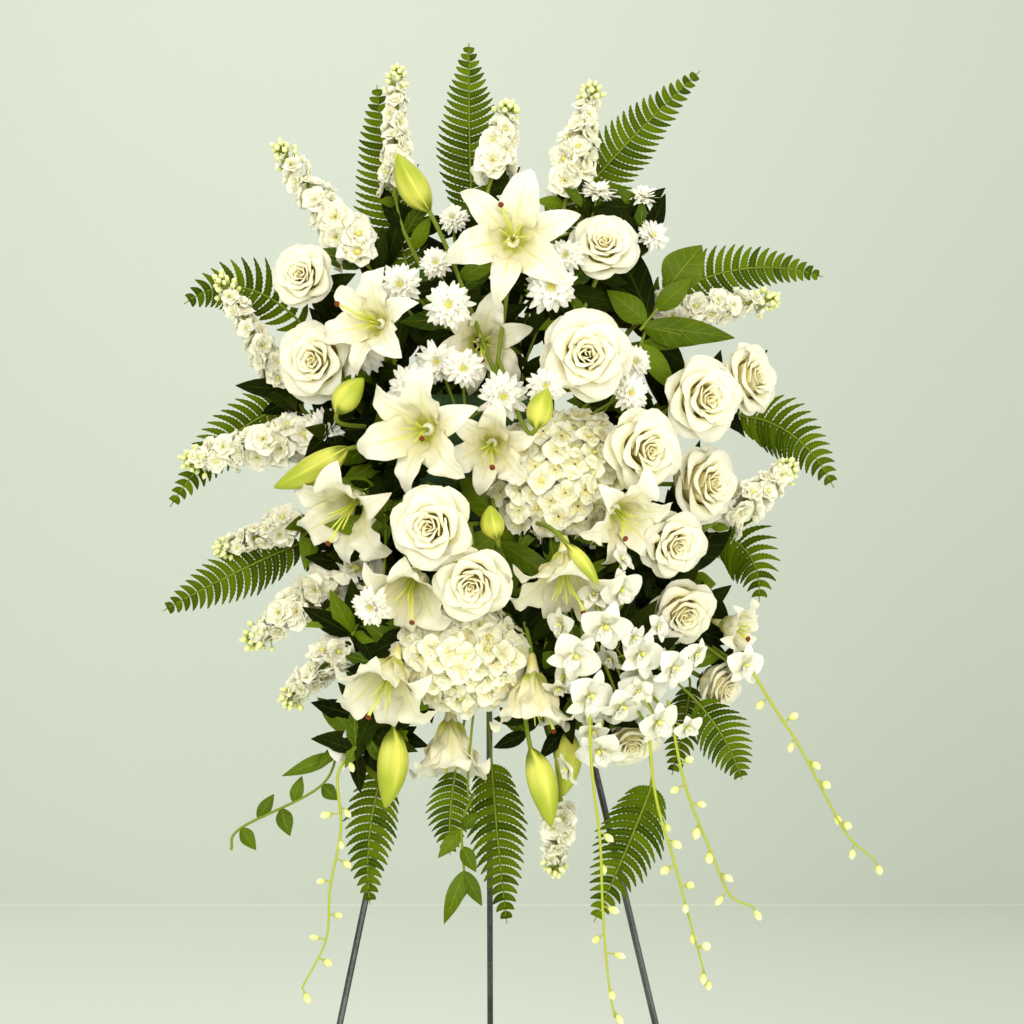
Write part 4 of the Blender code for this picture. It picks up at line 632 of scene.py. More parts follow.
# Rounds of petals about an axis, each round smaller and steeper: a petal's spine goes outwards and rises along the
# axis, its tip curled by s^3, and its width is a share of its length times a swell.
def floretChunks(place, axis, radius, draw, mat, eyed, form, vary):
    side, up = frameOf(axis, (0.13, 0.21, 0.97))
    petals = form["petals"]
    rows, cols = 6, 5
    s = np.linspace(0, 1, rows)
    chunks = []
    for ring in range(form["rounds"]):
        reach = radius * (1 - 0.30 * ring)
        steep = form["lift"] + 0.45 * ring
        for k in range(petals):
            out = around(side, up, (k + 0.5 * ring) * math.tau / petals + draw.uniform(-0.12, 0.12) + ring * 0.3)
            size = reach * draw.uniform(0.90, 1.04)
            curl = draw.uniform(-0.18, 0.10)
            spine = place + (size * (0.06 + 0.94 * s * math.cos(0.5 * steep)))[:, None] * out \
                + (size * (steep * s * 0.55 + curl * s ** 3) + 0.0008 * ring)[:, None] * axis
            width = size * form["broad"] * swell(s, 0.10, 0.86, 0.78, 0.6)
            width[-1] *= 0.55
            chunks.append(blade(spine, width, np.cross(axis, out), mat, cup=form["cup"] * draw.uniform(0.6, 1.2),
                                ruffle=form["ruffle"], waves=1.6, phase=draw.uniform(0, 6), cols=cols,
                                vary=vary + draw.uniform(-0.12, 0.12), twist=draw.uniform(-0.25, 0.25)))
    if eyed:
        chunks.append(ovoid(place - 0.02 * radius * axis, place + 0.26 * radius * axis, 0.13 * radius, "flowerEye",
                            7, 5, 0.5))
    return chunks


# Hydrangeas: place, half width, half height, depth.
hydrangeas = {
    "hydrangea_right": [(563, 478, 13.5, 7.4, 7.0, 5.0)],
    "hydrangea_left": [(460, 655, 15, 6.7, 5.5, 4.2)],
}
hydrangeaForm = {"florets": 112, "floret": 0.0160, "petals": 4, "rounds": 1, "ruffle": 0.20, "broad": 0.62,
                 "cup": 0.26, "lift": 0.20}


# Florets on a dome of three radii, at golden turns: their levels go from 1 at its front to -0.36 behind its rim.
# A round core, its radius as the root of 1 - 0.92 t^2, fills the middle.
def hydrangeaChunks(place, radii, draw):
    wide, tall, deep = radii
    form, count = hydrangeaForm, hydrangeaForm["florets"]
    chunks = []
    for k in range(count):
        level = 1.0 - 1.36 * (k + 0.5) / count
        turn = k * golden
        roundOut = math.sqrt(max(0.0, 1 - level * level))
        out = unit(np.array([roundOut * math.cos(turn), -level, roundOut * math.sin(turn)]))
        centre = place + draw.uniform(0.84, 0.98) * np.array([wide, deep, tall]) * out
        look = unit(out + 0.30 * draw.normal(size=3) + np.array([0.0, -0.35, 0.1]))
        chunks += floretChunks(centre, look, form["floret"] * draw.uniform(0.85, 1.1), draw, "hydrangeaPetal",
                               k % 4 == 0, form, draw.uniform(-0.3, 0.15))
    path = place + np.outer(np.linspace(0.5, -0.62, 9), [0.0, 1.0, 0.0]) * deep
    t = np.linspace(-1, 1, 9)
    core = 0.66 * min(wide, tall) * np.sqrt(np.clip(1 - 0.92 * t ** 2, 0.02, 1))
    chunks.append(tube(path, core, 18, "hydrangeaPetal"))
    return chunks


# Stocks: base and tip on the drawing, forward, radius.
stocks = {
    "stock_top_left": [(395, 190, 398, 72, 7, 2.1), (493, 172, 508, 110, 8, 2.6)],
    "stock_top_right": [(568, 192, 592, 90, 7, 2.7)],
    "stock_left_upper": [(362, 258, 280, 148, 8, 2.8)],
    "stock_right_upper": [(648, 318, 772, 300, 5.5, 2.5)],
    "stock_left_middle": [(282, 382, 221, 280, 7, 2.2), (312, 434, 190, 461, 8, 3.1)],
    "stock_left_lower": [(300, 522, 220, 549, 7, 2.2), (362, 566, 252, 640, 10, 3.4),
                         (343, 648, 288, 699, 12, 2.5)],
    "stock_right_middle": [(718, 521, 790, 468, 9, 2.6)],
    "stock_bottom": [(560, 802, 555, 868, 11.5, 2.4)],
}
stockForm = {"spacing": 0.19, "fewest": 13, "most": 24, "petals": 5, "rounds": 2, "ruffle": 0.36, "broad": 0.58,
             "cup": 0.30, "lift": 0.30, "buds": 20}


# Double florets at golden turns up a spike, the smaller the higher, and a cluster of stalked buds at its tip.
def stockChunks(base, tip, radius, draw):
    form = stockForm
    axis = unit(tip - base)
    length = float(np.linalg.norm(tip - base))
    side, up = frameOf(axis)
    path = base + np.outer(np.linspace(-0.06, 0.98, 9), axis) * length
    chunks = [tube(path, np.linspace(0.0030, 0.0016, 9), 8, "greenStem")]
    count = int(np.clip(round(length / (form["spacing"] * radius)), form["fewest"], form["most"]))
    for k in range(count):
        t = (k + 0.3) / count
        out = unit(around(side, up, k * golden) + (0.10 + 0.55 * t) * axis)
        size = radius * (0.80 - 0.38 * t) * draw.uniform(0.82, 1.10)
        centre = base + t * 0.90 * length * axis + (0.58 - 0.30 * t) * radius * out
        look = unit(out + 0.42 * draw.normal(size=3) + np.array([0.0, -0.2, 0.1]))
        chunks += floretChunks(centre, look, size, draw, "stockPetal", k % 3 == 0, form, draw.uniform(-0.25, 0.1))
    for k in range(form["buds"]):
        t = k / form["buds"]
        out = unit(around(side, up, k * golden) + (0.5 + 1.3 * t) * axis)
        foot = base + (0.80 + 0.20 * t) * length * axis
        far = foot + (0.62 - 0.40 * t) * radius * draw.uniform(0.8, 1.1) * out
        chunks.append(tube(np.array([foot, 0.5 * (foot + far) + 0.001 * axis, far]), 0.0006, 5, "greenStem"))
        chunks.append(ovoid(far - 0.001 * out, far + draw.uniform(0.0055, 0.0085) * out,
                            draw.uniform(0.0024, 0.0034), "paleBud", 8, 7, 0.5, draw.uniform(-0.6, 0.5)))
    return chunks


# Mums: place, radius, turns.
mums = {
    "mums_top": [(436, 263, 13, 1.8, -5, 10), (401, 285, 14, 2.4, -15, 5), (449, 305, 16, 2.6, -5, 0),
                 (453, 219, 11, 1.7, 0, 20)],
    "mums_centre": [(437, 362, 15, 2.3, -5, 0), (463, 368, 17, 2.2, 5, -5), (410, 386, 17, 2.4, -12, 0),
                    (503, 397, 18, 2.7, 5, 0)],
    "mums_top_right": [(597, 193, 9, 1.9, 10, 65), (645, 198, 8, 1.9, 30, 55), (652, 236, 9, 1.9, 25, 15),
                       (565, 256, 15, 2.0, 0, 10), (551, 287, 17, 2.9, 0, 0)],
    "mums_left": [(366, 352, 12, 2.6, -15, 0), (325, 430, 12, 2.4, -30, 0), (372, 606, 22, 2.2, -20, -20)],
    "mums_right": [(634, 362, 15, 1.9, 15, 10), (630, 393, 17, 2.1, 15, 0), (546, 386, 20, 2.0, 0, 0)],
}
mumForm = {
    "rounds": ((18, 1.02, 0.02), (17, 0.92, 0.26), (13, 0.74, 0.62), (8, 0.52, 1.0)),  # rays, reach, steepness
    "eyeFlorets": 24, "eyeRadius": 0.14,
}


# Rounds of narrow rays, each spine a line outwards with a rise of steep s + droop s^2, about a dome of eye florets
# set at golden turns, their distance from the middle growing as a root.
def mumChunks(place, radius, axis, draw):
    side, up = frameOf(axis)
    s = np.linspace(0, 1, 6)
    chunks = []
    for ring, (count, reach, steep) in enumerate(mumForm["rounds"]):
        for k in range(count):
            out = around(side, up, (k + 0.5 * ring) * math.tau / count + draw.uniform(-0.15, 0.15))
            size = radius * reach * draw.uniform(0.80, 1.05)
            droop = draw.uniform(-0.34, 0.16)
            spine = place + (size * (0.10 + 0.90 * s))[:, None] * out \
                + (size * (steep * s + droop * s ** 2) + 0.0010 * ring)[:, None] * axis
            width = radius * draw.uniform(0.135, 0.17) * swell(s, 0.16, 0.80, 0.8, 0.45)
            width[-1] *= 0.5
            chunks.append(blade(spine, width, np.cross(axis, out), "mumPetal", cup=0.22, cols=5, groove=0.16,
                                thick=0.0005, vary=draw.uniform(-0.1, 0.1)))
    count = mumForm["eyeFlorets"]
    for k in range(count):
        away = mumForm["eyeRadius"] * radius * math.sqrt((k + 0.5) / count)
        out = around(side, up, k * golden)
        foot = place + away * out + 0.02 * radius * axis
        high = (0.15 - 0.35 * (away / radius) ** 1.2) * radius
        chunks.append(ovoid(foot, foot + (high + 0.0016) * axis + 0.10 * away * out, 0.040 * radius, "flowerEye",
                            6, 5, 0.6, draw.uniform(-0.2, 0.4)))
    return chunks


# Orchids: place, radius, turns. A trailing stem: its points, centimetres forward at its start and end, and its buds.
orchidBlooms = {
    "orchid_far_right": [(745, 665, 11, 2.3, 35, -10)],
    "orchid_right": [(641, 655, 19, 2.6, 10, -10), (643, 690, 17, 2.8, 10, -20), (673, 668, 19, 2.5, 25, -10),
                     (657, 722, 19, 2.6, 10, -30)],
    "orchid_centre": [(620, 590, 21, 2.5, 15, -10), (605, 626, 22, 2.9, 0, -15), (575, 656, 21, 2.8, -5, -15),
                      (589, 696, 20, 2.9, 0, -20), (600, 750, 18, 2.8, 0, -35), (622, 706, 18.5, 2.5, 12, -25)],
    "orchid_left": [(380, 752, 12.5, 2.4, -15, -30), (350, 750, 13.5, 2.3, -20, -30)],
}
orchidTrails = {
    "orchid_far_right": [
        ([(748, 665), (779, 715), (797, 742), (824, 793), (848, 836), (875, 860)], (11, 13),
         [(760, 703), (792, 715), (788, 741), (813, 759), (821, 778), (831, 808), (846, 820), (850, 845),
          (876, 864)])],
    "orchid_right": [
        ([(668, 700), (685, 785), (712, 854), (730, 895), (754, 907)], (17, 20),
         [(688, 758), (674, 788), (697, 798), (693, 828), (706, 850), (725, 871), (718, 900), (752, 906)]),
        ([(648, 715), (655, 793), (675, 865), (690, 921), (705, 975)], (18, 23),
         [(662, 820), (675, 838), (665, 868), (689, 883), (682, 900), (690, 931), (705, 944), (700, 967),
          (706, 982)])],
    "orchid_centre": [
        ([(589, 700), (592, 771), (600, 841), (603, 916), (609, 985), (615, 1018)], (19, 25),
         [(608, 832), (600, 862), (612, 907), (596, 932), (622, 954), (607, 984), (614, 1010)])],
    "orchid_left": [
        ([(360, 745), (338, 774), (341, 828), (330, 889), (326, 940), (302, 988)], (14, 17),
         [(347, 758), (320, 814), (343, 806), (338, 836), (350, 864), (320, 879), (338, 913), (312, 935),
          (327, 960), (303, 990)])],
}
orchidForm = {
    "broad": 0.54, "narrow": 0.31,  # half widths of the two petals and the three sepals, in radii
    "lip": ((-0.55, 0.20, 0.34), (0.55, 0.20, 0.34), (0.0, 0.26, 0.50)),  # lean, half width and reach of its lobes
    "crowded": ("orchid_centre", "orchid_right"),  # sprays with smaller blooms beside each bloom
}


# Five tepals whose spines rise by 0.30 s and curl back as s^2.5, and a lip of three lobes that rise as sin 2.2 s.
def orchidChunks(place, radius, axis, draw):
    axis = unit(axis + 0.22 * draw.normal(size=3))
    side, up = frameOf(axis, (0.35 * draw.normal(), 0.0, 1.0))
    s = np.linspace(0, 1, 11)
    chunks = []
    for k in range(5):
        broad = orchidForm["broad"] if k in (1, 4) else orchidForm["narrow"]
        out = around(side, up, math.pi / 2 + k * math.tau / 5)
        size = radius * draw.uniform(0.96, 1.03)
        curl = draw.uniform(0.15, 0.45) * s ** 2.5
        spine = place + (size * (0.05 + 0.95 * s))[:, None] * out + (size * (0.30 * s - curl))[:, None] * axis
        width = size * broad * swell(s, 0.08, 0.90, 0.8, 0.75)
        width[-1] *= 0.4
        chunks.append(blade(spine, width, np.cross(axis, out), "orchidPetal", cup=0.14, ruffle=0.05, waves=1.5,
                            phase=draw.uniform(0, 6), cols=9, vary=draw.uniform(-0.1, 0.1)))
    for lean, wide, reach in orchidForm["lip"]:
        out = unit(-up + lean * side)
        spine = place + (radius * reach * s)[:, None] * out + (radius * (0.30 * np.sin(2.2 * s)))[:, None] * axis
        width = radius * wide * swell(s, 0.10, 0.86, 1, 0.7)
        chunks.append(blade(spine, width, np.cross(axis, out), "orchidPetal", cup=0.45, ruffle=0.16, waves=2.5,
                            phase=draw.uniform(0, 6), cols=7, vary=-0.35))
    tip = place + radius * (0.30 * axis + 0.10 * up)
    chunks.append(ovoid(place, tip, 0.09 * radius, "flowerEye", 8, 7, 0.6, 0.3))
    return chunks


# Smaller half-open blooms beside and behind a bloom, each on its stalk.
def sideBloomChunks(place, radius, axis, draw):
    chunks = []
    for turn in draw.uniform(0, math.tau) + np.array([0.0, 2.3]):
        aside = radius * draw.uniform(1.05, 1.35) * np.array([math.cos(turn), 0.0, math.sin(turn)])
        sideAt = place + aside + np.array([0.0, draw.uniform(0.010, 0.020), 0.0])
        sideAxis = unit(axis + 0.9 * unit(aside) + 0.3 * draw.normal(size=3))
        chunks += orchidChunks(sideAt, radius * draw.uniform(0.55, 0.72), sideAxis, draw)
        behind = place - 0.25 * radius * axis
        stalk = np.array([sideAt, 0.5 * (sideAt + behind) - 0.003 * sideAxis, behind])
        chunks.append(tube(stalk, 0.0010, 5, "limeStem"))
    return chunks


# A smooth stem through the CAD's points, and a pear-shaped bud on a short stalk at each of the CAD's places.
def trailChunks(points, start, end, buds, draw):
    forward = np.linspace(start, end, len(points))
    path = smooth(np.array([at(a, d, f) for (a, d), f in zip(points, forward)]), 8)
    chunks = [tube(path, np.linspace(0.0017, 0.0010, len(path)), 7, "limeStem")]
    for a, d in buds:
        share = np.argmin([abs(d - p[1]) + abs(a - p[0]) for p in points])
        place = at(a, d, forward[share])
        foot = path[np.argmin(np.linalg.norm(path - place, axis=1))]
        reach = place - foot
        if np.linalg.norm(reach) < 0.009:
            reach = 0.0095 * unit(reach + np.array([0.003, -0.001, -0.004]))
        size = 0.0042 * draw.uniform(0.8, 1.15)
        knee = foot + 0.45 * reach
        long = 0.0125 * draw.uniform(0.85, 1.15) * unit(reach + np.array([0.0, 0.0, -0.004]))
        chunks.append(tube(np.array([foot, foot + 0.3 * reach, knee]), 0.0008, 5, "limeStem"))
        chunks.append(ovoid(knee - 0.1 * reach, knee + long, size, "paleBud", 10, 9, 0.58, draw.uniform(-0.3, 0.3)))
    return chunks


# Ferns: base, bend and tip of a frond, each with its own centimetres forward; half width.
ferns = {
    "fern_top_left": [((408, 270, 6), (383, 180, 3), (377, 85, 1), 4.2)],
    "fern_top": [((472, 215, 5), (468, 130, 2), (469, 43, 0), 3.8)],
    "fern_top_right": [((556, 225, 5), (615, 150, 3), (700, 71, 2), 3.8)],
    "fern_right_upper": [((650, 304, 4), (742, 248, 3), (823, 277, 3), 3.0)],
    "fern_right_middle": [((735, 415, 4), (800, 418, 4), (834, 488, 6), 3.5)],
    "fern_right_lower": [((702, 528, 3.5), (765, 540, 4), (759, 603, 6), 3.7)],
    "fern_right_bottom": [((700, 705, 11), (730, 740, 11), (742, 780, 12), 3.0)],
    "fern_left_upper": [((300, 322, 4), (240, 262, 3), (184, 304, 4), 3.6)],
    "fern_left_middle": [((300, 400, 4), (222, 425, 3), (170, 507, 5), 3.3)],
    "fern_left_lower": [((296, 545, 5), (232, 572, 5), (163, 611, 6), 3.3)],
    "fern_bottom_left": [((384, 768, 9.5), (362, 835, 11), (370, 905, 12), 3.0)],
    "fern_bottom": [((492, 768, 9.5), (497, 840, 11), (507, 924, 12), 3.3),
                    ((455, 775, 12), (448, 815, 12), (450, 855, 13), 2.6)],
    "fern_bottom_right": [((650, 790, 11), (628, 850, 12), (594, 922, 13), 3.8),
                          ((690, 690, 6), (684, 730, 6), (672, 775, 7), 2.2)],
}
fernForm = {"pairEvery": 0.0088, "fewest": 12, "most": 28, "rows": 17, "pinna": 0.50, "tooth": (0.80, 1.04)}


# Pinnae in pairs along a quadratic rib, their reach rising quickly and falling as 1 - t^1.8. A pinna's spine leans
# towards the tip as u^2.4 and droops as u^2; its edge is toothed by every second row being narrower.
def fernChunks(base, bend, tip, halfWidth, draw):
    form = fernForm
    p = np.array([at(*base), at(*bend), at(*tip)])
    span = float(np.linalg.norm(p[2] - p[0]))
    pairs = int(np.clip(round(span / form["pairEvery"]), form["fewest"], form["most"]))
    t = np.linspace(0, 1, pairs + 1)
    line = (1 - t)[:, None] ** 2 * p[0] + 2 * ((1 - t) * t)[:, None] * p[1] + (t ** 2)[:, None] * p[2]
    tangent = unit(np.gradient(line, axis=0))
    wide = unit(np.cross(tangent, [0.0, -1.0, 0.0]))
    normal = np.cross(wide, tangent)
    chunks = [tube(line, np.linspace(0.0015, 0.0006, pairs + 1), 6, "greenStem")]
    u = np.linspace(0, 1, form["rows"])
    narrow, full = form["tooth"]
    teeth = np.where(np.arange(form["rows"]) % 2, full, narrow)
    for i in range(pairs):
        reach = halfWidth * min(1.0, 0.55 + 1.7 * t[i]) * (1 - t[i] ** 1.8) + 0.003
        for sign in (-1, 1):
            size = reach * draw.uniform(0.93, 1.03)
            droop = draw.uniform(0.06, 0.22)
            spine = line[i] + (size * u)[:, None] * sign * wide[i] \
                + (size * (0.12 * u + 0.46 * u ** 2.4))[:, None] * tangent[i] \
                + (size * (0.10 * np.sin(math.pi * u) - droop * u ** 2))[:, None] * normal[i]
            width = form["pinna"] * span / pairs * (1 - 0.86 * u ** 2.6) * teeth
            width[-1] = 0.0003
            chunks.append(blade(spine, width, tangent[i], "fernLeaf", cols=3, cup=-0.22,
                                vary=draw.uniform(-0.3, 0.3), twist=draw.uniform(-0.2, 0.2)))
    return chunks


# Leafy stems: the stem's points; then its leaves from base to tip, forward, half width.
leaves = {
    "ruscus_left": ([(340, 735, 13), (322, 785, 13), (241, 828, 14), (231, 850, 14)],
                    [(300, 752, 282, 776, 14, 0.8), (322, 745, 318, 768, 15, 0.6), (243, 826, 256, 850, 15, 0.8),
                     (262, 818, 274, 794, 13, 0.7), (280, 808, 290, 836, 15, 0.9), (292, 800, 302, 776, 13, 0.7),
                     (322, 784, 338, 800, 14, 0.8)]),
    "ruscus_bottom": ([(474, 794, 12), (462, 824, 14), (464, 871, 15)],
                      [(462, 826, 438, 858, 15.5, 0.8), (462, 830, 478, 812, 15.5, 0.7),
                       (463, 848, 476, 872, 15.5, 0.8), (464, 868, 444, 924, 15.5, 0.9),
                       (464, 868, 482, 906, 15.5, 0.8), (464, 870, 462, 900, 15, 0.8)]),
    "leaves_upper_right": ([(640, 330, 10), (664, 300, 9.5), (667, 288, 9.5)],
                           [(665, 288, 702, 245, 9, 2.2), (655, 306, 692, 278, 10, 1.2),
                            (648, 322, 607, 290, 10, 1.4), (646, 328, 708, 342, 9.5, 1.5),
                            (648, 335, 735, 338, 9, 1.4), (648, 322, 572, 286, 4, 2.2),
                            (644, 326, 606, 226, 4, 2.0), (644, 330, 680, 430, 4, 2.2)]),
    "leaves_right": ([(650, 560, 8), (685, 580, 8), (695, 584, 8)],
                     [(660, 566, 700, 440, 6, 1.6), (690, 582, 716, 584, 9, 1.2), (690, 586, 664, 662, 10, 1.3),
                      (694, 586, 730, 640, 5.5, 1.5), (655, 562, 612, 470, 3, 2.3), (670, 570, 736, 508, 3, 2.1),
                      (655, 564, 598, 656, 4, 2.3), (655, 562, 640, 680, 4, 2.0)]),
    "leaves_left": ([(392, 444, 5.5), (374, 458, 6), (366, 464, 6)],
                    [(372, 452, 322, 408, 7, 1.3), (366, 460, 388, 494, 8, 1.2), (364, 462, 330, 470, 7, 1.3),
                     (386, 446, 409, 348, 7.5, 1.1), (380, 452, 352, 388, 7, 1.2), (386, 446, 330, 346, 2.5, 2.3),
                     (388, 444, 388, 320, 2.5, 2.1), (370, 460, 316, 530, 2.5, 2.2),
                     (376, 458, 380, 570, 2.5, 2.2)]),
    "mums_top": ([(478, 338, 6), (466, 300, 5), (458, 272, 4.5)],
                 [(476, 330, 402, 296, 3, 2.1), (468, 306, 418, 232, 3, 2.0), (460, 280, 500, 206, 3, 2.0),
                  (474, 322, 540, 268, 3.5, 2.2), (478, 336, 548, 330, 4, 1.8)]),
    "lily_hanging_right": ([(548, 636, 11.5), (552, 664, 12), (554, 684, 12)],
                           [(554, 680, 594, 736, 11.5, 1.8), (553, 676, 514, 728, 11.5, 1.6),
                            (550, 650, 606, 664, 11.5, 1.8), (554, 684, 560, 764, 11.5, 1.5)]),
    "lily_centre": ([(500, 512, 13), (498, 530, 13.5), (500, 542, 14)],
                    [(500, 520, 458, 474, 13, 1.5), (498, 530, 446, 572, 14, 1.5), (500, 540, 569, 588, 17, 1.2),
                     (500, 530, 548, 548, 13, 1.5), (500, 542, 520, 610, 14, 1.5)]),
}


# A leaf on a line from base to tip, bowed off it by a sine, folded along its rib, its width a swell.
def leafChunk(base, tip, halfWidth, draw, mat, cols=7, rows=13, vary=0.0):
    t = np.linspace(0, 1, rows)
    d = tip - base
    across = unit(np.cross(d, (0.0, -1.0, 0.0)))
    normal = np.cross(across, unit(d))
    spine = base + t[:, None] * d + (0.10 * np.linalg.norm(d) * np.sin(math.pi * t))[:, None] * normal
    width = halfWidth * swell(t, 0.03, 0.96, 0.8, 0.95)
    width[-1] = 0.0003
    return blade(spine, width, -across, mat, cup=-0.22, ruffle=0.06, waves=2, phase=draw.uniform(0, 6), cols=cols,
                 vary=vary + draw.uniform(-0.2, 0.2), groove=-0.05, twist=draw.uniform(-0.15, 0.15))


# Inner greens that fill the spray between the blooms, most of them near black: painted shade deep in the spray.
foliageForm = {
    "kinds": ("roses", "lilies", "lily", "stock", "mums", "hydrangea", "leaves", "orchid"),
    # more of them, and nearer the front, in the lower half of the spray
    "low": ("orchid_centre", "orchid_right", "lilies_right", "lily_hanging_right", "roses_right_lower",
            "roses_bottom_right", "lilies_hanging_left", "stock_left_lower", "mums_left", "lilies_left_lower",
            "orchid_left"),
    "count": (20, 30), "depth": (0.095, 0.155),
    "size": 0.060, "shortest": 0.02, "margin": 0.004,
    # most take the near-black green, painted shade; a lighter share takes the ruscus green
    "greens": ("paintedShadeLeaf", "ruscusLeaf"), "lighter": 0.3,
}


# Leaves off the stems in drawn directions, kept inside the node's own box and behind the blooms.
def foliageChunks(name, paths, draw, low, high):
    form = foliageForm
    isLow = name in form["low"]
    depth, size, margin = form["depth"][isLow], form["size"], form["margin"]
    low = np.array([low[0], max(low[1], planBack - depth), low[2]])
    chunks = []
    for path in paths:
        path = path[path[:, 1] > planBack - depth - 0.005]
        if len(path) < 4:
            continue
        for _ in range(form["count"][isLow]):
            start = path[draw.integers(1, len(path) - 1)]
            out = unit(draw.normal(size=3) + np.array([0.0, -0.5, 0.0]))
            tip = np.clip(start + size * draw.uniform(0.7, 1.2) * out, low + margin, high - margin)
            length = np.linalg.norm(tip - start)
            if length < form["shortest"]:
                continue
            green = form["greens"][draw.random() < form["lighter"]]
            chunks.append(leafChunk(start, tip, 0.15 * length + 0.002, draw, green, cols=3, rows=7,
                                    vary=draw.uniform(-0.5, 0.4)))
    return chunks


# Stems, and where they enter the foam: the CAD's rule.
plantNames = []
for table in (roses, lilies, stocks, mums, orchidBlooms, ferns, leaves, hydrangeas):
    plantNames += [name for name in table if name not in plantNames]
foamForm = {
    "centre": np.array([-0.026, planBack - 0.056, 1.100]), "half": np.array([0.070, 0.045, 0.120]),
    "holeLimits": np.array([0.043, 0.036, 0.093]), "holesApart": 0.015, "holeDepth": 0.022,
}
faceNormals = {"front": (0.0, -1.0, 0.0), "top": (0.0, 0.0, 1.0), "left": (-1.0, 0.0, 0.0), "right": (1.0, 0.0, 0.0)}
# The face of the foam that a node's stems go into; the others go into its front.
nodesOfFace = {
    "top": ("stock_top_left", "stock_top_right", "stock_left_upper", "mums_top", "mums_top_right", "fern_top_left",
            "fern_top", "fern_top_right"),
    "left": ("roses_left", "lily_left_upper", "stock_left_middle", "stock_left_lower", "mums_left",
             "fern_left_upper", "fern_left_middle", "fern_left_lower", "leaves_left"),
    "right": ("roses_right_upper", "roses_right_middle", "orchid_far_right", "roses_right_lower", "lily_right_edge",
              "stock_right_upper", "stock_right_middle", "fern_right_upper", "fern_right_middle",
              "fern_right_lower", "leaves_upper_right", "leaves_right"),
}
faceOf = {name: face for face, names in nodesOfFace.items() for name in names}
# The part's slot and the radius of its stems, for each kind of plant.
kinds = {
    "roses": ("rose", 0.0025), "hydrangea": ("hydrangea", 0.0026), "lilies": ("lily", 0.0024),
    "lily": ("lily", 0.0024), "stock": ("stock", 0.0024), "mums": ("mum", 0.0014), "orchid": ("orchid", 0.0015),
    "fern": ("fern", 0.0014), "ruscus": ("leaf", 0.0013), "leaves": ("leaf", 0.0017),
}


def kindOf(name):
    return name.split("_")[0]


# Each bloom's foot and axis, in the CAD's order.
def feetOf(name):
    found = []
    for a, d, f, r, right, up, opened in roses.get(name, []):
        axis = facing(right, up)
        found.append((at(a, d, f) - 0.65 * r * cm * axis, axis))
    for a, d, f, wide, tall, deep in hydrangeas.get(name, []):
        back = np.array([0.0, 1.0, 0.0])
        found.append((at(a, d, f) + 0.55 * deep * cm * back, -back))
    for a, d, f, length, right, up, opened in lilies.get(name, []):
        axis = facing(right, up)
        found.append((at(a, d, f) - 0.40 * length * cm * axis, axis))
    for a, d, aTip, dTip, f, r in lilyBuds.get(name, []):
        base, tip = at(a, d, f), at(aTip, dTip, f)
        found.append((base + 0.12 * (tip - base), unit(tip - base)))
    for a, d, aTip, dTip, f, r in stocks.get(name, []):
        base, tip = at(a, d, f), at(aTip, dTip, f - 1.0)
        found.append((base + 0.02 * (tip - base), unit(tip - base)))
    for a, d, f, r, right, up in mums.get(name, []) + orchidBlooms.get(name, []):
        found.append((at(a, d, f), facing(right, up)))
    for points, (start, end), buds in orchidTrails.get(name, []):
        path = [at(a, d, f) for (a, d), f in zip(points, np.linspace(start, end, len(points)))]
        found.append((path[0], unit(path[0] - path[1])))
    for base, bend, tip, halfWidth in ferns.get(name, []):
        found.append((at(*base), unit(at(*bend) - at(*base))))
    if name in leaves:
        path = [at(*p) for p in leaves[name][0]]
        found.append((path[0], unit(path[0] - path[1])))
    return found


# Held within the limits of its face, and on it.
def onFace(place, normal):
    place = np.clip(place, -foamForm["holeLimits"], foamForm["holeLimits"])
    fixed = int(np.argmax(np.abs(normal)))
    place[fixed] = normal[fixed] * foamForm["half"][fixed]
    return place


# A hole for each node, towards the mean of its blooms; close pairs push each other apart 400 times, as in the CAD.
def holePlaces(names):
    places, normals = {}, {}
    for name in names:
        normals[name] = np.array(faceNormals[faceOf.get(name, "front")])
        goal = np.mean([foot for foot, _ in feetOf(name)], axis=0) - foamForm["centre"]
        places[name] = onFace(np.array([0.30, 0.45, 0.34]) * goal, normals[name])
    for _ in range(400):
        moved = {name: place.copy() for name, place in places.items()}
        for a in names:
            for b in names:
                if a == b or np.dot(normals[a], normals[b]) < 0.5:
                    continue
                apart = places[a] - places[b]
                distance = np.linalg.norm(apart) + 1e-9
                if distance < foamForm["holesApart"]:
                    moved[a] += 0.25 * (foamForm["holesApart"] - distance) * (apart + 1e-5) / distance
        places = {name: onFace(moved[name], normals[name]) for name in names}
    return {name: (places[name] + foamForm["centre"], normals[name]) for name in names}


# A node's stems: the first from its hole, the others branching from it, each a cubic to its bloom's foot.
def stemPaths(name):
    mouth, normal = holes[name]
    inFoam = mouth - (foamForm["holeDepth"] - 0.002) * normal
    paths = []
    for number, (foot, axis) in enumerate(feetOf(name)):
        if number == 0:
            start, lead = mouth + 0.004 * normal, normal
        else:
            start = fork[0] + 0.16 * (number - 1) * (fork[1] - fork[0])
            lead = unit(foot - start)
        away = float(np.linalg.norm(foot - start))
        pulls = start, start + 0.30 * away * lead, foot - 0.30 * away * axis, foot
        if number:
            paths.append(bezier(*pulls, 14))
            continue
        fork = bezier(*pulls, 4 if away > 0.06 else 3)[1:3]
        paths.append(np.vstack([inFoam, bezier(*pulls, 14)]))
    return paths


holes = holePlaces(plantNames)


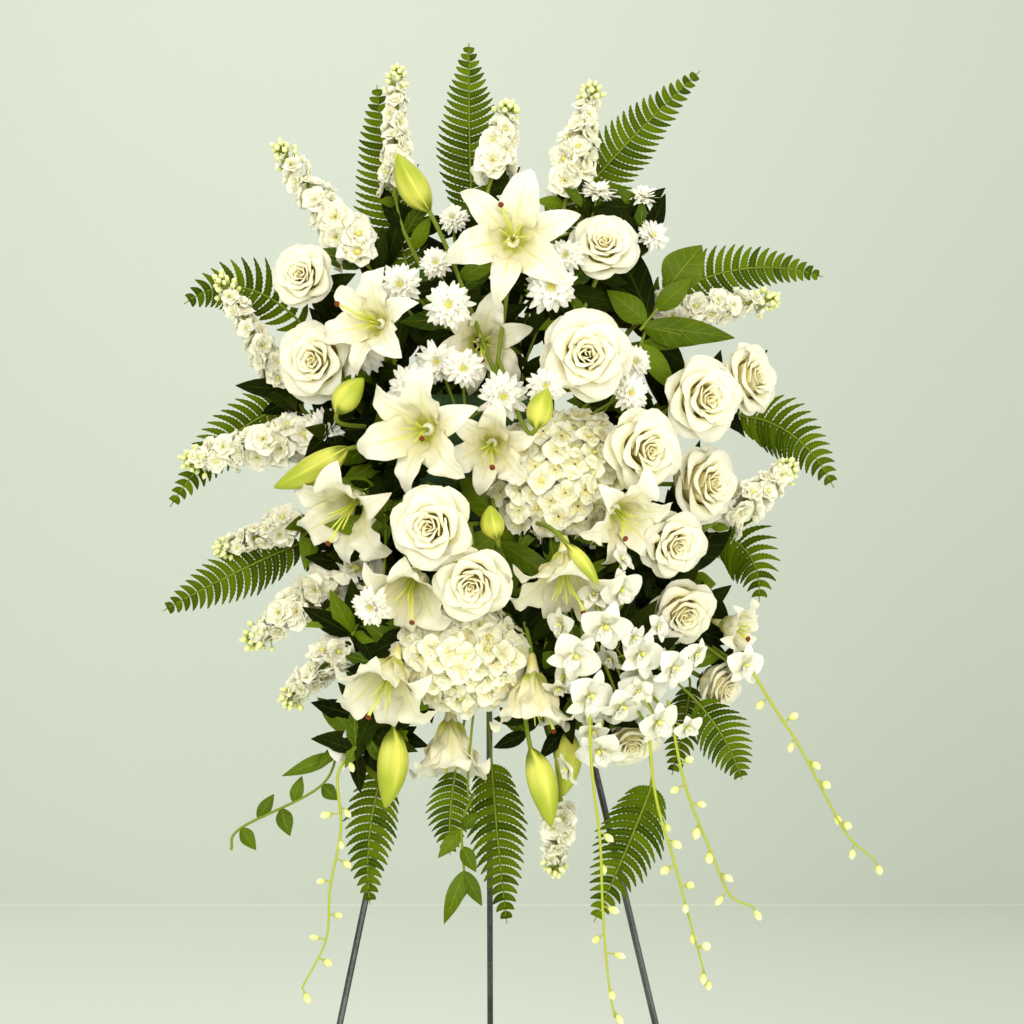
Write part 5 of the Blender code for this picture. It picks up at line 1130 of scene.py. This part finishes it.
# One piece for a plant node: its blooms, stems and greens.
def plant(name):
    draw = np.random.default_rng(sum(ord(c) * (i + 3) for i, c in enumerate(name)))
    chunks = []
    for a, d, f, r, right, up, opened in roses.get(name, []):
        place, axis = at(a, d, f), facing(right, up)
        chunks += roseChunks(place, r * cm, axis, opened, draw)
        chunks += sepalChunks(place, r * cm, axis)
    for a, d, f, wide, tall, deep in hydrangeas.get(name, []):
        chunks += hydrangeaChunks(at(a, d, f), (wide * cm, tall * cm, deep * cm), draw)
    for a, d, f, length, right, up, opened in lilies.get(name, []):
        styleTip = at(*lilyStyles[(a, d)]) if (a, d) in lilyStyles else None
        chunks += lilyChunks(at(a, d, f), length * cm, facing(right, up), opened, draw, styleTip)
    for a, d, aTip, dTip, f, r in lilyBuds.get(name, []):
        chunks += lilyBudChunks(at(a, d, f), at(aTip, dTip, f), r * cm, draw)
    for a, d, aTip, dTip, f, r in stocks.get(name, []):
        chunks += stockChunks(at(a, d, f), at(aTip, dTip, f - 1.0), r * cm, draw)
    for a, d, f, r, right, up in mums.get(name, []):
        chunks += mumChunks(at(a, d, f), r * cm, facing(right, up), draw)
    for a, d, f, r, right, up in orchidBlooms.get(name, []):
        place, axis = at(a, d, f), facing(right, up)
        chunks += orchidChunks(place, r * cm, axis, draw)
        if name in orchidForm["crowded"]:
            chunks += sideBloomChunks(place, r * cm, axis, draw)
    for points, (start, end), buds in orchidTrails.get(name, []):
        chunks += trailChunks(points, start, end, buds, draw)
    for base, bend, tip, halfWidth in ferns.get(name, []):
        chunks += fernChunks(base, bend, tip, halfWidth * cm, draw)
    kind = kindOf(name)
    if name in leaves:
        points, items = leaves[name]
        path = smooth(np.array([at(*p) for p in points]), 8)
        chunks.append(tube(path, 0.0014, 7, "greenStem"))
        for a, d, aTip, dTip, f, halfWidth in items:
            # Leaves no more than 8.5 cm forward take the near-black green: painted shade for their depth in the
            # spray.
            mat = "ruscusLeaf" if kind == "ruscus" else "broadLeaf" if f > 8.5 else "paintedShadeLeaf"
            wanted, tip = at(a, d, f), at(aTip, dTip, f)
            foot = path[np.argmin(np.linalg.norm(path - wanted, axis=1))]
            chunks.append(leafChunk(foot, tip, halfWidth * cm, draw, mat))
    paths = stemPaths(name)
    slot, radius = kinds[kind]
    for path in paths:
        chunks.append(tube(path, radius, 7, "greenStem"))
    if kind in foliageForm["kinds"]:
        low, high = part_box(name)
        chunks += foliageChunks(name, paths, draw, np.array(low), np.array(high))
    return makePiece(name + "_fine", chunks, node=name)


made = [plant(name) for name in plantNames]
triangles = sum(sum(len(p.vertices) - 2 for p in o.data.polygons) for o in made)
print("stage: plants", len(made), "pieces", triangles, "triangles")


# The stand and the foam stay as the CAD has them, with better materials: colours in sRGB bytes, roughness, metal,
# the grain's scale and its dents.
standLooks = {
    "easelSteel": ((84, 84, 84), (56, 56, 56), 0.40, 0.7, 260.0, 0.08),
    "tipRubber": ((44, 44, 45), (28, 28, 29), 0.75, 0.0, 320.0, 0.35),
    "trayPlastic": ((40, 74, 40), (26, 54, 28), 0.45, 0.0, 180.0, 0.12),
    "foamGreen": ((62, 92, 50), (36, 62, 30), 0.92, 0.0, 900.0, 0.9),
}
standNodes = {
    "easelSteel": ("easel_front", "easel_rear_leg"),
    "tipRubber": ("foot_tip_left", "foot_tip_right", "foot_tip_rear"),
    "trayPlastic": ("holder_tray",),
    "foamGreen": ("foam_block",),
}


# Two noises, one fine and one broad, mottle the colour and the roughness; the fine one dents the surface.
def wornMaterial(name, colour, dark, rough, metal, scale, bump):
    m, tree, shader = nodeMaterial(name)
    grain = objectNoise(tree, Scale=scale, Detail=5.0, Roughness=0.6).outputs[0]
    broad = objectNoise(tree, Scale=scale * 0.08, Detail=3.0).outputs[0]
    fac = plus(tree, times(tree, grain, 0.5), times(tree, broad, 0.5))
    mixed = mixColour(tree, ramp(tree, fac, 0.38, 0.62), linear(*dark), linear(*colour))
    tree.links.new(mixed, shader.inputs["Base Color"])
    tree.links.new(plus(tree, times(tree, fac, 0.25), rough - 0.12, clamp=True), shader.inputs["Roughness"])
    shader.inputs["Metallic"].default_value = metal
    dented(tree, shader, grain, bump, 0.0006)
    return m


for name, look in standLooks.items():
    mat = wornMaterial(name, *look)
    for node in standNodes[name]:
        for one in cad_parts[node].material_slots:
            one.material = mat
print("stage: stand")


# The room: a pale wall behind, meeting the floor in a small cove, and its lights.
roomForm = {
    "half": 6.0, "front": -6.0, "wallBack": 4.04, "cove": 0.004, "top": 4.6,
    "wall": ((203, 211, 198), (206, 213, 200)), "floor": ((219, 225, 213), (223, 229, 216)),
    # painted shade: the paint darkens to the right, away from the key light on the left
    "paintedShadeFrom": -1.3, "paintedShadeTo": 1.6, "paintedShadeShare": 0.88,  # darker to the right
}
lights = {  # place, target, size, power, colour
    "key": ((-1.4, -3.0, 2.7), (0.0, 0.0, 1.05), 2.2, 74.0, (1.0, 0.975, 0.93)),
    "fill": ((1.7, -3.1, 1.25), (0.0, 0.0, 1.05), 3.0, 82.0, (1.0, 0.98, 0.94)),
    "wallWash": ((0.0, 0.5, 4.2), (0.0, 4.0, 0.9), 3.0, 60.0, (1.0, 1.0, 0.985)),
}
worldColour, worldStrength = (1.0, 0.99, 0.96, 1.0), 0.74


# The paint is mottled by a broad noise, a little lighter on the floor, and darker to the right: painted shade, as if
# the key light from the left fell off across the wall.
def paintMaterial():
    m, tree, shader = nodeMaterial("wallPaint")
    broad = ramp(tree, objectNoise(tree, Scale=0.35, Detail=2.0).outputs[0], 0.3, 0.7)
    place = tree.nodes.new("ShaderNodeTexCoord")
    split = tree.nodes.new("ShaderNodeSeparateXYZ")
    tree.links.new(place.outputs["Object"], split.inputs[0])
    wall, floor = (mixColour(tree, broad, *(linear(*c) for c in roomForm[part])) for part in ("wall", "floor"))
    both = mixColour(tree, ramp(tree, split.outputs[2], 0.0, 0.003), floor, wall)
    # Painted shade: the wall and floor darken towards the right.
    paintedShade = ramp(tree, split.outputs[0], roomForm["paintedShadeFrom"], roomForm["paintedShadeTo"])
    colour = mixColour(tree, paintedShade, both, shaded(tree, both, roomForm["paintedShadeShare"]))
    tree.links.new(colour, shader.inputs["Base Color"])
    setInputs(shader, {"Roughness": 0.85, "Specular IOR Level": 0.15})
    return m


# A floor, a quarter circle of the cove's radius, then straight up.
def roomSheet():
    wallBack, cove, half = roomForm["wallBack"], roomForm["cove"], roomForm["half"]
    a = np.linspace(0, math.pi / 2, 5)
    ys = np.concatenate([[roomForm["front"], -3.0, 0.0], wallBack - cove + cove * np.sin(a), [wallBack]])
    zs = np.concatenate([[0.0, 0.0, 0.0], cove - cove * np.cos(a), [roomForm["top"]]])
    xs = np.linspace(-half, half, 5)
    points = np.stack(np.broadcast_arrays(xs[None, :], ys[:, None], zs[:, None]), -1).reshape(-1, 3)
    g = np.arange(len(points)).reshape(len(ys), len(xs))
    faces = np.stack([g[:-1, :-1], g[:-1, 1:], g[1:, 1:], g[1:, :-1]], -1).reshape(-1, 4)
    mesh = bpy.data.meshes.new("room")
    mesh.from_pydata(points.tolist(), [], faces.tolist())
    mesh.materials.append(paintMaterial())
    obj = bpy.data.objects.new("room", mesh)
    scene.collection.objects.link(obj)


def areaLight(name, place, target, size, power, colour):
    data = bpy.data.lights.new(name, "AREA")
    data.shape = "DISK"
    data.size = size
    data.energy = power
    data.color = colour
    obj = bpy.data.objects.new(name, data)
    obj.location = place
    obj.rotation_euler = (Vector(target) - Vector(place)).to_track_quat("-Z", "Y").to_euler()
    scene.collection.objects.link(obj)


roomSheet()
for name, light in lights.items():
    areaLight(name, *light)
world = bpy.data.worlds.new("room light")
scene.world = world
world.use_nodes = True
background = world.node_tree.nodes["Background"]
background.inputs[0].default_value = worldColour
background.inputs[1].default_value = worldStrength
scene.view_settings.view_transform = "Standard"
scene.view_settings.look = "None"
print("stage: room")
